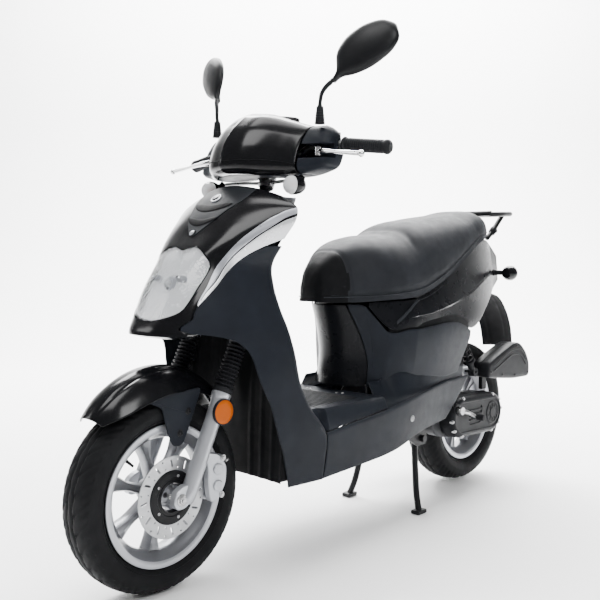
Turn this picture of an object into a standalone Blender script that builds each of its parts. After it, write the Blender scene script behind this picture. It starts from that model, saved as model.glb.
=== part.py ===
"""A step-through moped scooter in metres: +Z up, forward along -Y, the rider's left at +X.

It stands on its centre stand and its front tyre, with the rear tyre just off the ground.
"""

import math

import bmesh
import bpy
import numpy as np
from mathutils import Matrix, Quaternion, Vector

# Driving dimensions
FRONT_AXLE = Vector((0.0, -0.700, 0.2295))
REAR_AXLE = Vector((0.0, 0.620, 0.247))
FRONT_TYRE_RADIUS = 0.2295
REAR_TYRE_RADIUS = 0.239
FRONT_TYRE_WIDTH = 0.110
REAR_TYRE_WIDTH = 0.120
RIM_RADIUS = 0.1665
SPOKES = 7
RAKE = math.radians(25.0)
STEERING_FOOT = Vector((0.0, -0.677, 0.2295))
FORK_HALF_TRACK = 0.088
SWING_PIVOT = Vector((0.0, 0.200, 0.375))
STAND_PIVOT = Vector((0.0, 0.230, 0.225))
STAND_FOOT_Y = 0.200
STAND_FOOT_X = 0.135
KICK_PIVOT = Vector((0.158, 0.395, 0.292))
SEAT_HINGE = Vector((0.0, -0.150, 0.664))
SHOCK_TOP = Vector((0.105, 0.440, 0.560))
SHOCK_BOTTOM = Vector((0.105, 0.560, 0.395))
BAR_INNER = Vector((0.205, -0.300, 1.0605))
BAR_OUTER = Vector((0.354, -0.2712, 1.0433))
LEVER_PIVOT = Vector((0.184, -0.338, 1.040))
MIRROR_BASE = Vector((0.1865, -0.336, 1.104))
MIRROR_NECK = Vector((0.210, -0.317, 1.212))
MIRROR_SECTIONS = (
    (0.000, -0.006, 0.006, 0.0080),
    (0.022, -0.008, 0.014, 0.0120),
    (0.048, -0.026, 0.046, 0.0180),
    (0.082, -0.042, 0.062, 0.0220),
    (0.120, -0.050, 0.062, 0.0240),
    (0.158, -0.050, 0.050, 0.0220),
    (0.188, -0.036, 0.028, 0.0160),
    (0.203, -0.018, 0.010, 0.0080),
)
BAR_RADIUS = 0.011
GAP = 0.0004
PIN_RADIUS = 0.0047
SKIN = 0.003
WHEEL_STEPS = 24

STEERING_AXIS = Vector((0.0, math.sin(RAKE), math.cos(RAKE)))


# Mathematics of curves and surfaces
def curve(*points):
    """A smooth function through (place, value) points, level beyond both ends."""
    places = np.array([place for place, _ in points], float)
    values = np.array([value for _, value in points], float)
    slopes = np.gradient(values, places)

    def at(place):
        place = min(max(place, places[0]), places[-1])
        i = min(max(int(np.searchsorted(places, place)) - 1, 0), len(places) - 2)
        span = places[i + 1] - places[i]
        t = (place - places[i]) / span
        start = (1 + 2 * t) * (1 - t) ** 2 * values[i] + t * (1 - t) ** 2 * span * slopes[i]
        end = t * t * (3 - 2 * t) * values[i + 1] + t * t * (t - 1) * span * slopes[i + 1]
        return float(start + end)

    return at


def steps(low, high, count):
    """Evenly spaced values from low to high."""
    return [low + (high - low) * i / (count - 1) for i in range(count)]


def mix(a, b, t):
    """The value a share t of the way from a to b."""
    return a + (b - a) * t


def on_steering_axis(z):
    """The point of the steering axis at height z."""
    return STEERING_FOOT + STEERING_AXIS * ((z - STEERING_FOOT.z) / STEERING_AXIS.z)


def circle(centre, axis, radius, sides, start=0.0):
    """Points around an axis, as a ring."""
    axis = Vector(axis).normalized()
    across = Vector((0, 0, 1)) if abs(axis.z) < 0.9 else Vector((0, 1, 0))
    across = (across - axis * across.dot(axis)).normalized()
    side = axis.cross(across)
    turns = [start + 2 * math.pi * i / sides for i in range(sides)]
    return [Vector(centre) + radius * (across * math.cos(a) + side * math.sin(a)) for a in turns]


def smooth_path(points, count):
    """Points along a smooth line through a few given ones."""
    points = [Vector(p) for p in points]
    lengths = [0.0]
    for a, b in zip(points, points[1:]):
        lengths.append(lengths[-1] + (b - a).length)
    lines = [curve(*[(s, p[k]) for s, p in zip(lengths, points)]) for k in range(3)]
    return [Vector([line(s) for line in lines]) for s in steps(0, lengths[-1], count)]


# Objects
def clear_scene():
    """Start from an empty scene."""
    for obj in list(bpy.data.objects):
        bpy.data.objects.remove(obj)


def finish(name, colour, roughness, metallic=0.0, alpha=1.0):
    """A Principled material."""
    material = bpy.data.materials.new(name)
    material.use_nodes = True
    shader = material.node_tree.nodes["Principled BSDF"]
    shader.inputs["Base Color"].default_value = (*colour, 1.0)
    shader.inputs["Roughness"].default_value = roughness
    shader.inputs["Metallic"].default_value = metallic
    shader.inputs["Alpha"].default_value = alpha
    return material


def hang(obj, joint):
    """Parent an object to a joint's empty without moving it."""
    if joint:
        obj.parent = joint
        obj.matrix_parent_inverse = Matrix.Translation(-Vector(joint.location))


def joint_at(name, place, parent=None):
    """An empty on a joint's axis."""
    empty = bpy.data.objects.new(name, None)
    empty.empty_display_size = 0.05
    bpy.context.scene.collection.objects.link(empty)
    empty.location = place
    hang(empty, parent)
    return empty


def piece(name, bm, look, joint=None, sharp=40.0):
    """An object from a bmesh, its faces turned outward and its round parts smooth."""
    mesh = bpy.data.meshes.new(name)
    bm.to_mesh(mesh)
    bm.free()
    mesh.shade_smooth()
    mesh.set_sharp_from_angle(angle=math.radians(sharp))
    obj = bpy.data.objects.new(name, mesh)
    bpy.context.scene.collection.objects.link(obj)
    if look:
        material = LOOKS[look].copy()
        material.name = name
        mesh.materials.append(material)
    hang(obj, joint)
    return obj


def skin(name, rings, look, joint=None, loop=False):
    """A closed solid through rings with equal numbers of points; loop joins the last to the first."""
    bm = bmesh.new()
    rows = [[bm.verts.new(p) for p in ring] for ring in rings]
    pairs = list(zip(rows, rows[1:] + rows[:1])) if loop else list(zip(rows, rows[1:]))
    for a, b in pairs:
        for i in range(len(a)):
            j = (i + 1) % len(a)
            bm.faces.new((a[i], a[j], b[j], b[i]))
    if not loop:
        bm.faces.new(rows[0])
        bm.faces.new(rows[-1])
    bmesh.ops.recalc_face_normals(bm, faces=bm.faces)
    return piece(name, bm, look, joint)


def shell(name, rows, look, joint=None, thickness=SKIN, side=1):
    """A panel from rows of points on its outer face, thickened inward; side -1 mirrors it in X."""
    if side < 0:
        rows = [[Vector((-p.x, p.y, p.z)) for p in reversed(row)] for row in rows]
    bm = bmesh.new()
    grid = [[bm.verts.new(p) for p in row] for row in rows]
    for a, b in zip(grid, grid[1:]):
        for i in range(len(a) - 1):
            bm.faces.new((a[i], a[i + 1], b[i + 1], b[i]))
    obj = piece(name, bm, look, joint)
    wall = obj.modifiers.new("wall", "SOLIDIFY")
    wall.thickness = thickness
    wall.offset = -1.0
    return obj


def turned(name, profile, centre, axis, look, joint=None, sides=WHEEL_STEPS, hollow=True, start=0.0):
    """A turned piece from (along, radius) profile points; a hollow one's profile closes on itself."""
    axis = Vector(axis).normalized()
    centre = Vector(centre)
    rings = [circle(centre + axis * along, axis, radius, sides, start) for along, radius in profile]
    return skin(name, rings, look, joint, loop=hollow)


def tube(name, path, radius, look, joint=None, sides=10):
    """A round bar along a path; radius is one value or one for each point."""
    path = [Vector(p) for p in path]
    radii = radius if isinstance(radius, (list, tuple)) else [radius] * len(path)
    runs = [(b - a).normalized() for a, b in zip(path, path[1:])]
    heads = [runs[0]] + [(a + b).normalized() for a, b in zip(runs, runs[1:])] + [runs[-1]]
    across = heads[0].orthogonal().normalized()
    rings = []
    for place, head, size in zip(path, heads, radii):
        across = (across - head * across.dot(head)).normalized()
        side = head.cross(across)
        turns = [2 * math.pi * i / sides for i in range(sides)]
        rings.append([place + size * (across * math.cos(a) + side * math.sin(a)) for a in turns])
    return skin(name, rings, look, joint)


def block(name, low, high, look, joint=None, bevel=0.0, turn=None, about=None):
    """A box between two corners with bevelled edges, turned about a point if asked."""
    bm = bmesh.new()
    bmesh.ops.create_cube(bm, size=1.0)
    low, high = Vector(low), Vector(high)
    for vert in bm.verts:
        vert.co = Vector([mix(low[k], high[k], vert.co[k] + 0.5) for k in range(3)])
    if turn:
        about = Vector(about) if about else (low + high) / 2
        bmesh.ops.rotate(bm, cent=about, matrix=turn.to_matrix(), verts=bm.verts)
    obj = piece(name, bm, look, joint, sharp=30.0)
    if bevel:
        edge = obj.modifiers.new("edge", "BEVEL")
        edge.width = bevel
        edge.segments = 2
        edge.limit_method = "ANGLE"
    return obj


def plate(name, outline, low_x, high_x, look, joint=None):
    """A flat plate from an outline of (y, z) points, between two X positions."""
    rings = [[Vector((x, y, z)) for y, z in outline] for x in (low_x, high_x)]
    return skin(name, rings, look, joint)


def change(obj, other, operation):
    """Cut another object out of obj, or weld it on; the other one stays hidden as a guide."""
    step = obj.modifiers.new(operation.lower(), "BOOLEAN")
    step.operation = operation
    step.solver = "EXACT"
    step.object = other
    other.hide_render = True
    other.display_type = "WIRE"


def cut(obj, *others):
    """Cut other objects out of obj."""
    for other in others:
        change(obj, other, "DIFFERENCE")


def weld(obj, *others):
    """Weld other objects to obj."""
    for other in others:
        change(obj, other, "UNION")


def bake(obj):
    """Write an object's modifiers into its mesh, so that it can be a clean tool for another."""
    evaluated = obj.evaluated_get(bpy.context.evaluated_depsgraph_get())
    mesh = bpy.data.meshes.new_from_object(evaluated)
    obj.modifiers.clear()
    obj.data = mesh


# Outer surfaces
FRONT_CENTRE_Y = curve(
    (0.215, -0.640), (0.450, -0.710), (0.560, -0.728), (0.610, -0.738), (0.634, -0.724),
    (0.710, -0.684), (0.792, -0.622), (0.829, -0.589), (0.891, -0.539), (0.922, -0.507),
    (0.957, -0.462),
)
FRONT_EDGE_Y = curve(
    (0.215, -0.312), (0.270, -0.312), (0.325, -0.314), (0.360, -0.336), (0.400, -0.371),
                     (0.450, -0.400),
    (0.560, -0.430),
    (0.654, -0.455), (0.735, -0.463), (0.820, -0.455), (0.900, -0.440), (0.957, -0.430),
)
FRONT_HALF_WIDTH = curve(
    (0.215, 0.184), (0.333, 0.197), (0.450, 0.190), (0.560, 0.185), (0.610, 0.178), (0.660, 0.162),
    (0.710, 0.148), (0.760, 0.143), (0.820, 0.179), (0.870, 0.209), (0.910, 0.206), (0.957, 0.150),
)
FRONT_POWER = curve(
    (0.215, 7.0), (0.450, 6.5), (0.560, 3.2), (0.610, 3.0), (0.660, 3.7), (0.710, 4.2), (0.760, 4.5),
    (0.820, 4.0), (0.870, 2.5), (0.910, 2.0), (0.957, 1.9),
)
WING_FRONT = curve(
    (0.215, 0.940), (0.330, 0.930), (0.445, 0.938), (0.477, 0.925), (0.512, 0.900), (0.545, 0.869),
    (0.573, 0.831), (0.590, 0.785), (0.600, 0.700), (0.607, 0.575), (0.640, 0.610), (0.667, 0.650),
    (0.705, 0.756), (0.750, 0.831), (0.780, 0.875), (0.800, 0.925), (0.815, 0.985),
)
CROWN_START_Z = 0.820
CROWN_DROP = 0.030
FLOOR_Z = 0.396
FRONT_LOW_Z = 0.592
FRONT_LIP = ((0.085, 0.600), (0.045, 0.597), (0.012, 0.590))
FRONT_TOP_Z = 0.957
WING_TOP_Z = 0.815
WING_ROWS = (0.217, 0.270, 0.330, 0.370, 0.450, 0.512, 0.560, 0.590, 0.600, 0.607, 0.650, 0.705, 0.755,
             0.805)


def front_point(z, across):
    """The front skin at height z; across runs from the right edge, -1, to the left edge, 1."""
    depth = FRONT_EDGE_Y(z) - FRONT_CENTRE_Y(z)
    y = FRONT_CENTRE_Y(z) + depth * abs(across) ** FRONT_POWER(z)
    rise = max(0.0, (z - CROWN_START_Z) / (FRONT_TOP_Z - CROWN_START_Z))
    return Vector((FRONT_HALF_WIDTH(z) * across, y, z - CROWN_DROP * (across * rise) ** 2))


BODY_HALF_WIDTH = curve(
    (-0.030, 0.098), (0.000, 0.113), (0.030, 0.130), (0.070, 0.145), (0.160, 0.160),
    (0.430, 0.150), (0.600, 0.122), (0.700, 0.096), (0.820, 0.056),
)
BODY_BULGE = curve((0.340, -0.010), (0.420, 0.000), (0.585, 0.020), (0.660, 0.002), (0.850, -0.016))
BODY_FRONT_Y = curve((0.413, -0.083), (0.490, -0.071), (0.544, -0.076), (0.645, -0.106))
BODY_FRONT_CURVE = 7.5
PANEL_HALF_WIDTH = curve((0.412, 0.092), (0.480, 0.090), (0.645, 0.063))
BODY_CORNER_X = 0.100


def body_point(y, z):
    """The left side of the body under the seat, at a station along its length and a height."""
    share = min(1.0, max(0.0, (y + 0.030) / 0.150))
    return Vector((BODY_HALF_WIDTH(y) + BODY_BULGE(z) * share, y, z))


def body_front_point(x, z):
    """The front of the body under the seat, which curves back towards both sides."""
    return Vector((x, BODY_FRONT_Y(z) + BODY_FRONT_CURVE * x * x, z))


COVER_LOW_Z = curve((-0.050, 0.404), (0.000, 0.404), (0.025, 0.425), (0.045, 0.440), (0.150, 0.432),
                    (0.313, 0.415), (0.400, 0.424))
COVER_TOP_Z = curve((-0.040, 0.646), (-0.030, 0.640), (0.018, 0.574), (0.100, 0.572), (0.380, 0.568),
                    (0.432, 0.546))
TAIL_LOW_Z = curve((-0.022, 0.642), (0.028, 0.580), (0.100, 0.578), (0.390, 0.574), (0.440, 0.556),
                   (0.600, 0.612), (0.820, 0.702))
TAIL_TOP_Z = curve((-0.022, 0.650), (0.020, 0.653), (0.166, 0.662), (0.300, 0.708), (0.430, 0.770),
                   (0.560, 0.822), (0.650, 0.842), (0.740, 0.832), (0.820, 0.786))
SKIRT_LOW_Z = curve((-0.310, 0.217), (-0.190, 0.224), (0.000, 0.238), (0.120, 0.262), (0.318, 0.276))
SKIRT_TOP_Z = curve((-0.310, 0.333), (-0.190, 0.345), (-0.074, 0.356), (0.097, 0.379), (0.318, 0.398))
SKIRT_HALF_WIDTH = curve((-0.310, 0.196), (-0.100, 0.200), (0.050, 0.198), (0.318, 0.164),
                         (0.450, 0.152))

SEAT_TOP_Z = curve((-0.164, 0.695), (-0.159, 0.720), (-0.146, 0.749), (-0.124, 0.774), (-0.092, 0.797),
                   (-0.046, 0.818), (0.000, 0.832), (0.060, 0.842), (0.143, 0.852), (0.214, 0.882),
                   (0.320, 0.901), (0.480, 0.921), (0.610, 0.936), (0.645, 0.925), (0.664, 0.892))
SEAT_LOW_Z = curve((-0.164, 0.656), (-0.110, 0.653), (0.000, 0.658), (0.170, 0.672), (0.300, 0.717),
                   (0.430, 0.779), (0.552, 0.832), (0.664, 0.862))
SEAT_HALF_WIDTH = curve((-0.164, 0.022), (-0.159, 0.036), (-0.140, 0.052), (-0.110, 0.070),
                        (-0.085, 0.088),
                        (-0.048, 0.114), (0.000, 0.141), (0.060, 0.157), (0.170, 0.164), (0.350, 0.158),
                        (0.520, 0.138), (0.610, 0.118), (0.645, 0.098), (0.664, 0.066))

COWL_NOSE_Y = curve((0.000, -0.496), (0.060, -0.476), (0.120, -0.420), (0.170, -0.378), (0.225, -0.362))
COWL_TOP_Y = curve((0.000, -0.371), (0.080, -0.350), (0.140, -0.322), (0.225, -0.312))
COWL_TOP_Z = curve((0.000, 1.148), (0.050, 1.142), (0.100, 1.124), (0.150, 1.108), (0.200, 1.103),
                   (0.225, 1.090))
COWL_BACK_Y = curve((0.000, -0.262), (0.150, -0.266), (0.225, -0.278))
COWL_NOSE_Z = curve((0.000, 1.016), (0.120, 1.014), (0.170, 1.004), (0.225, 1.010))
COWL_LOW_HEIGHT = curve((0.000, 0.984), (0.150, 0.984), (0.225, 1.000))


def cowl_ring(x, inset=0.0):
    """The outline of the handlebar cowl at a station across the scooter, drawn in by an inset."""
    across = abs(x)
    nose, top_y, back = COWL_NOSE_Y(across), COWL_TOP_Y(across), COWL_BACK_Y(across)
    nose_z, top_z, low_z = COWL_NOSE_Z(across), COWL_TOP_Z(across), COWL_LOW_HEIGHT(across)
    outline = [
        (mix(nose, back, 0.14), low_z), (nose + 0.003, mix(nose_z, low_z, 0.6)), (nose, nose_z),
        (mix(nose, top_y, 0.12), mix(nose_z, top_z, 0.33)),
        (mix(nose, top_y, 0.36), mix(nose_z, top_z, 0.66)),
        (mix(nose, top_y, 0.68), mix(nose_z, top_z, 0.91)), (top_y, top_z),
        (mix(top_y, back, 0.5), top_z - 0.006), (back - 0.012, top_z - 0.022),
        (back, mix(low_z, top_z, 0.45)), (back - 0.012, low_z + 0.012), (mix(nose, back, 0.7), low_z),
    ]
    middle = Vector((x, mix(nose, back, 0.55), mix(low_z, top_z, 0.45)))
    ring = [Vector((x, y, z)) for y, z in outline]
    return [p + (middle - p).normalized() * inset for p in ring]


# Materials
LOOKS = {}


def make_looks():
    """The finishes that the pieces share."""
    LOOKS["gloss_black"] = finish("gloss_black", (0.010, 0.010, 0.011), 0.12)
    LOOKS["matte_black"] = finish("matte_black", (0.028, 0.031, 0.038), 0.55)
    LOOKS["seat"] = finish("seat", (0.030, 0.032, 0.036), 0.50)
    LOOKS["rubber"] = finish("rubber", (0.015, 0.015, 0.016), 0.70)
    LOOKS["silver"] = finish("silver", (0.560, 0.570, 0.590), 0.35, 0.8)
    LOOKS["steel"] = finish("steel", (0.500, 0.500, 0.500), 0.30, 1.0)
    LOOKS["chrome"] = finish("chrome", (0.800, 0.800, 0.800), 0.10, 1.0)
    LOOKS["black_metal"] = finish("black_metal", (0.020, 0.020, 0.022), 0.45, 0.3)
    LOOKS["clear"] = finish("clear", (0.900, 0.920, 0.950), 0.05, 0.0, 0.35)
    LOOKS["mirror"] = finish("mirror", (0.850, 0.850, 0.850), 0.02, 1.0)
    LOOKS["red"] = finish("red", (0.450, 0.010, 0.010), 0.15)


# Frame and body
def main_frame():
    """The welded tube frame: head tube, down tube, two floor and seat rails, lugs and cross tubes."""
    head_low, head_high = on_steering_axis(0.660), on_steering_axis(0.850)
    frame = tube("main_frame", [head_low, head_high], 0.027, "black_metal", sides=16)
    spine = tube("guide.spine", smooth_path([
        (0, -0.452, 0.730), (0, -0.424, 0.630), (0, -0.410, 0.500), (0, -0.388, 0.400),
        (0, -0.330, 0.325), (0, -0.240, 0.300), (0, -0.120, 0.300)], 9), 0.018, None, sides=8)
    guides = [spine]
    for side in (-1, 1):
        rail = smooth_path([
            (side * 0.000, -0.200, 0.300), (side * 0.110, -0.130, 0.300), (side * 0.122, 0.000, 0.302),
            (side * 0.122, 0.110, 0.345), (side * 0.122, 0.200, 0.460), (side * 0.122, 0.300, 0.570),
            (side * 0.108, 0.430, 0.650), (side * 0.090, 0.560, 0.672), (side * 0.074, 0.680, 0.695),
            (side * 0.050, 0.752, 0.722)], 11)
        guides.append(tube(f"guide.rail{side}", rail, 0.0125, None, sides=8))
        guides.append(plate(f"guide.lug{side}", [
            (0.060, 0.330), (0.090, 0.270), (0.205, 0.205), (0.248, 0.205), (0.255, 0.240),
                                                 (0.215, 0.290),
            (0.226, 0.362), (0.220, 0.400), (0.180, 0.440), (0.160, 0.430)],
            side * 0.1165, side * 0.1235, None))
    eye_lug = plate("guide.shock_lug", [(0.412, 0.650), (0.428, 0.555), (0.440, 0.548), (0.452, 0.555),
                                        (0.466, 0.655)],
                    0.0850, 0.0915, None)
    eye_pin = tube("guide.shock_pin", [SHOCK_TOP - Vector((0.017, 0, 0)), SHOCK_TOP + Vector((0.014, 0,
                                                                                              0))],
                   PIN_RADIUS, None, sides=12)
    weld(eye_lug, eye_pin)
    bake(eye_lug)
    guides.append(eye_lug)
    for name, y, z, half in (("floor", -0.020, 0.302, 0.122), ("seat", 0.405, 0.636, 0.112)):
        guides.append(tube(f"guide.cross_{name}", [(-half, y, z), (half, y, z)], 0.010, None, sides=10))
    weld(frame, *guides)
    bore = tube("guide.head_bore", [on_steering_axis(0.600), on_steering_axis(0.900)], 0.0185, None,
                sides=16)
    cut(frame, bore)
    weld(frame, pivot_bolt("guide.engine_bolt", SWING_PIVOT),
         pivot_bolt("guide.stand_bolt", STAND_PIVOT))


def pivot_bolt(name, place):
    """A long bolt through the frame lugs, on which another part swings."""
    profile = [(-0.134, 0.011), (-0.122, 0.011), (-0.1215, 0.006), (0.1215, 0.006), (0.122, 0.011),
               (0.134, 0.011)]
    return turned(name, profile, place, (1, 0, 0), None, sides=12, hollow=False)


def front_cowl():
    """The glossy front panel, with the lamp opening and a lip turned back under the nose."""
    rows = []
    limit = WING_FRONT(0.607) - 0.03
    for back, z in FRONT_LIP:
        row = [front_point(FRONT_LOW_Z, limit * u) for u in steps(-1, 1, 11)]
        rows.append([Vector((p.x * (1 - back), p.y + back * (1 - abs(p.x) * 3), z)) for p in row])
    for z in (0.600, 0.630, 0.680, 0.735, 0.785, 0.818, 0.850, 0.885, 0.918, 0.942, 0.957):
        limit = min(1.0, WING_FRONT(max(z, 0.607)) - 0.015) if z < WING_TOP_Z + 0.004 else 1.0
        rows.append([front_point(z, limit * u) for u in steps(-1, 1, 11)])
    cowl = shell("front_cowl", rows, "gloss_black")
    cut(cowl, lens_prism("guide.lamp_opening", 0.0))


def lens_prism(name, inset):
    """A prism through the nose in the outline of the head lamp, drawn in by an inset."""
    half = [(0.000, 0.795), (0.022, 0.801), (0.042, 0.804), (0.076, 0.788), (0.096, 0.765),
            (0.097, 0.738),
            (0.094, 0.708), (0.091, 0.680), (0.083, 0.655), (0.056, 0.641), (0.000, 0.631)]
    outline = half + [(-x, z) for x, z in reversed(half[1:-1])]
    middle = Vector((0.0, 0.715))
    points = []
    for x, z in outline:
        offset = Vector((x, z)) - middle
        points.append(middle + offset * (1 - inset / offset.length))
    rings = [[Vector((p.x, y, p.y)) for p in points] for y in (-0.80, -0.55)]
    return skin(name, rings, None)


def headlight():
    """The clear lens, a patch of the nose's own surface."""
    rows = []
    for z in steps(0.615, 0.815, 6):
        rows.append([front_point(z, u) for u in steps(-0.78, 0.78, 9)])
    lens = shell("headlight_lens", rows, "clear", thickness=0.0025)
    change(lens, lens_prism("guide.lens_edge", 0.0012), "INTERSECT")


def wings():
    """The side of the leg shield on both sides: from the wheel arch round to the knees."""
    for side, name in ((1, "leg_shield_left"), (-1, "leg_shield_right")):
        rows = []
        for z in WING_ROWS:
            row = [front_point(z, u) for u in
                   [mix(WING_FRONT(z), 1.0, t) for t in (0.0, 0.25, 0.5, 0.75, 0.92, 1.0)]]
            edge = row[-1]
            if z > 0.335:
                row.append(edge + Vector((-0.004, 0.011, 0)))
                row.append(edge + Vector((-0.016, 0.016, 0)))
            else:
                row.append(edge + Vector((0.0005, 0.0006, 0)))
                row.append(edge + Vector((0.0010, 0.0012, 0)))
            rows.append(row)
        shell(name, rows, "matte_black", side=side)


def knee_panel():
    """The inner shield that faces the rider, with the hump over the steering column."""
    hump = curve((0.420, 0.030), (0.560, 0.040), (0.640, 0.046), (0.700, 0.064), (0.800, 0.105),
                 (0.860, 0.140),
                 (0.935, 0.172))
    rows = []
    for z in (0.425, 0.500, 0.580, 0.660, 0.720, 0.770, 0.820, 0.865, 0.905, 0.938):
        row = []
        for u in (0.965, 0.78, 0.56, 0.36, 0.18, 0.0, -0.18, -0.36, -0.56, -0.78, -0.965):
            x = FRONT_HALF_WIDTH(z) * u - 0.019 * u
            narrow = math.exp(-((x / mix(0.115, 0.068, (z - 0.425) / 0.513)) ** 4))
            rise = max(0.0, (z - CROWN_START_Z) / (FRONT_TOP_Z - CROWN_START_Z))
            row.append(Vector((x, FRONT_EDGE_Y(z) + 0.019 + hump(z) * narrow,
                               z - CROWN_DROP * (u * rise) ** 2)))
        rows.append(row)
    shell("knee_panel", rows, "matte_black")


def wheel_arch_liner():
    """The panel behind the front wheel, which keeps spray off the frame."""
    rows = []
    back = curve((0.225, -0.438), (0.350, -0.440), (0.450, -0.434), (0.560, -0.421), (0.590, -0.420))
    ridge = curve((0.225, 0.000), (0.400, 0.004), (0.500, 0.020), (0.590, 0.026))
    for z in steps(0.228, 0.576, 7):
        half = FRONT_HALF_WIDTH(z) * WING_FRONT(min(z, 0.50)) - 0.010
        row = []
        for u in (-1, -0.72, -0.45, -0.24, -0.12, 0, 0.12, 0.24, 0.45, 0.72, 1):
            x = half * u
            row.append(Vector((x, back(z) - 0.010 * u * u - ridge(z) * math.exp(-((x / 0.034) ** 4)),
                               z)))
        rows.append(row)
    shell("wheel_arch_liner", rows, "matte_black")


def floorboard():
    """The flat footboard between the leg shield and the seat box."""
    rows = []
    for y in (-0.345, -0.307, -0.300, -0.240, -0.150, -0.046):
        edge_z = SKIRT_TOP_Z(y) + 0.006
        flat_z = FLOOR_Z
        half = 0.176 if y < -0.305 else 0.193
        row = [Vector((-half, y, edge_z)), Vector((-half + 0.011, y, mix(edge_z, flat_z, 0.8)))]
        row += [Vector((x, y, flat_z)) for x in steps(0.025 - half, half - 0.025, 3)]
        row += [Vector((half - 0.011, y, mix(edge_z, flat_z, 0.8))), Vector((half, y, edge_z))]
        rows.append(row)
    shell("floorboard", rows, "matte_black", thickness=0.004)


def skirts():
    """The lower side covers, with a top edge that turns inward and, behind the knees, up again."""
    for side, name in ((1, "skirt_left"), (-1, "skirt_right")):
        columns = []
        for t in steps(0, 1, 9):
            column = []
            for v in (0.0, 0.25, 0.6, 1.0):
                y = mix(-0.307, mix(0.318, 0.447, v), t)
                low, top = SKIRT_LOW_Z(min(y, 0.318)), SKIRT_TOP_Z(min(y, 0.318))
                tuck = 0.014 * (1 - v) ** 2
                column.append(Vector((SKIRT_HALF_WIDTH(y) - tuck, y, mix(low, top, v))))
            last = column[-1]
            column.append(last + Vector((-0.004, 0, 0.0035)))
            if t > 0.47:
                column.append(last + Vector((-0.026, 0, 0.0045)))
                column.append(last + Vector((-0.030, 0, 0.0250)))
                column.append(last + Vector((-0.032, 0, 0.0450)))
            else:
                column.append(last + Vector((-0.0050, 0, 0.0035)))
                column.append(last + Vector((-0.0058, 0, 0.0035)))
                column.append(last + Vector((-0.0065, 0, 0.0035)))
            columns.append(column)
        rows = [list(row) for row in zip(*columns)]
        shell(name, rows, "matte_black", side=side)


def seat_box():
    """The covers under the seat: the front panel, two side covers and two tail cowls."""
    rows = []
    for z in steps(0.412, 0.645, 6):
        half = PANEL_HALF_WIDTH(z)
        rows.append([body_front_point(half * u, z) for u in steps(-1, 1, 9)])
    shell("seat_front_panel", rows, "matte_black")
    for side, word in ((1, "left"), (-1, "right")):
        columns = []
        for t in (0.0, 0.4, 0.75, 1.0):
            column = []
            for v in steps(0, 1, 7):
                z = mix(0.412, COVER_TOP_Z(-0.030), v)
                x = mix(PANEL_HALF_WIDTH(z) + 0.0025, BODY_CORNER_X, t)
                column.append(body_front_point(x, mix(0.412, COVER_TOP_Z(body_front_point(x, z).y), v)))
            columns.append(column)
        for y in (0.030, 0.060, 0.140, 0.250, 0.340, 0.385, 0.428):
            low = COVER_LOW_Z(y)
            if y > 0.375:
                low = mix(0.424, 0.540, (y - 0.375) / 0.060)
            columns.append([body_point(y, z) for z in steps(low, COVER_TOP_Z(y), 7)])
        rows = [list(row) for row in zip(*columns)]
        shell(f"side_cover_{word}", rows, "matte_black", side=side)
        columns = []
        for y in (-0.020, 0.014, 0.060, 0.160, 0.260, 0.350, 0.440, 0.520, 0.600, 0.680, 0.750, 0.818):
            columns.append([body_point(y, z) for z in steps(TAIL_LOW_Z(y), TAIL_TOP_Z(y), 5)])
        rows = [list(row) for row in zip(*columns)]
        shell(f"tail_cowl_{word}", rows, "gloss_black", side=side)


def tail():
    """The lamp, the centre cover, the mudguard, the signals and the rack at the tail."""
    rings = []
    for y, half, low, high in ((0.774, 0.036, 0.722, 0.776), (0.806, 0.040, 0.712, 0.782),
                               (0.829, 0.038, 0.714, 0.776), (0.838, 0.030, 0.722, 0.766)):
        middle = (low + high) / 2
        ring = []
        for i in range(12):
            a = 2 * math.pi * i / 12
            ring.append(Vector((half * math.cos(a), y, middle + (high - low) / 2 * math.sin(a))))
        rings.append(ring)
    skin("tail_light", rings, "red")
    rows = []
    path = smooth_path([(0, 0.430, 0.612), (0, 0.560, 0.636), (0, 0.700, 0.664), (0, 0.800, 0.650),
                        (0, 0.866, 0.596), (0, 0.908, 0.530), (0, 0.9295, 0.450)], 12)
    for i, place in enumerate(path):
        t = i / (len(path) - 1)
        half = mix(0.078, 0.062, t)
        head = (path[min(i + 1, 11)] - path[max(i - 1, 0)]).normalized()
        up = Vector((0, -head.z, head.y))
        rows.append([Vector((half * u, 0, 0)) + place - up * 0.012 * u * u for u in steps(-1, 1, 5)])
    shell("rear_mudguard", rows, "matte_black", thickness=0.004)
    for side, word in ((1, "left"), (-1, "right")):
        name = f"rear_signal_{word}"
        profile = [(-0.030, 0.010), (-0.026, 0.019), (-0.010, 0.0255), (0.010, 0.026), (0.020, 0.020),
                   (0.024, 0.008)]
        lamp = turned(name, profile, (side * 0.140, 0.740, 0.727), (0, 1, 0), "clear", sides=16,
                      hollow=False)
        root_x = side * (body_point(0.742, 0.727).x + 0.0045)
        stalk = tube(f"guide.stalk{side}", [(root_x, 0.737, 0.728), (side * 0.126, 0.737, 0.727)],
                     0.008, None, sides=8)
        weld(lamp, stalk)


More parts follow.
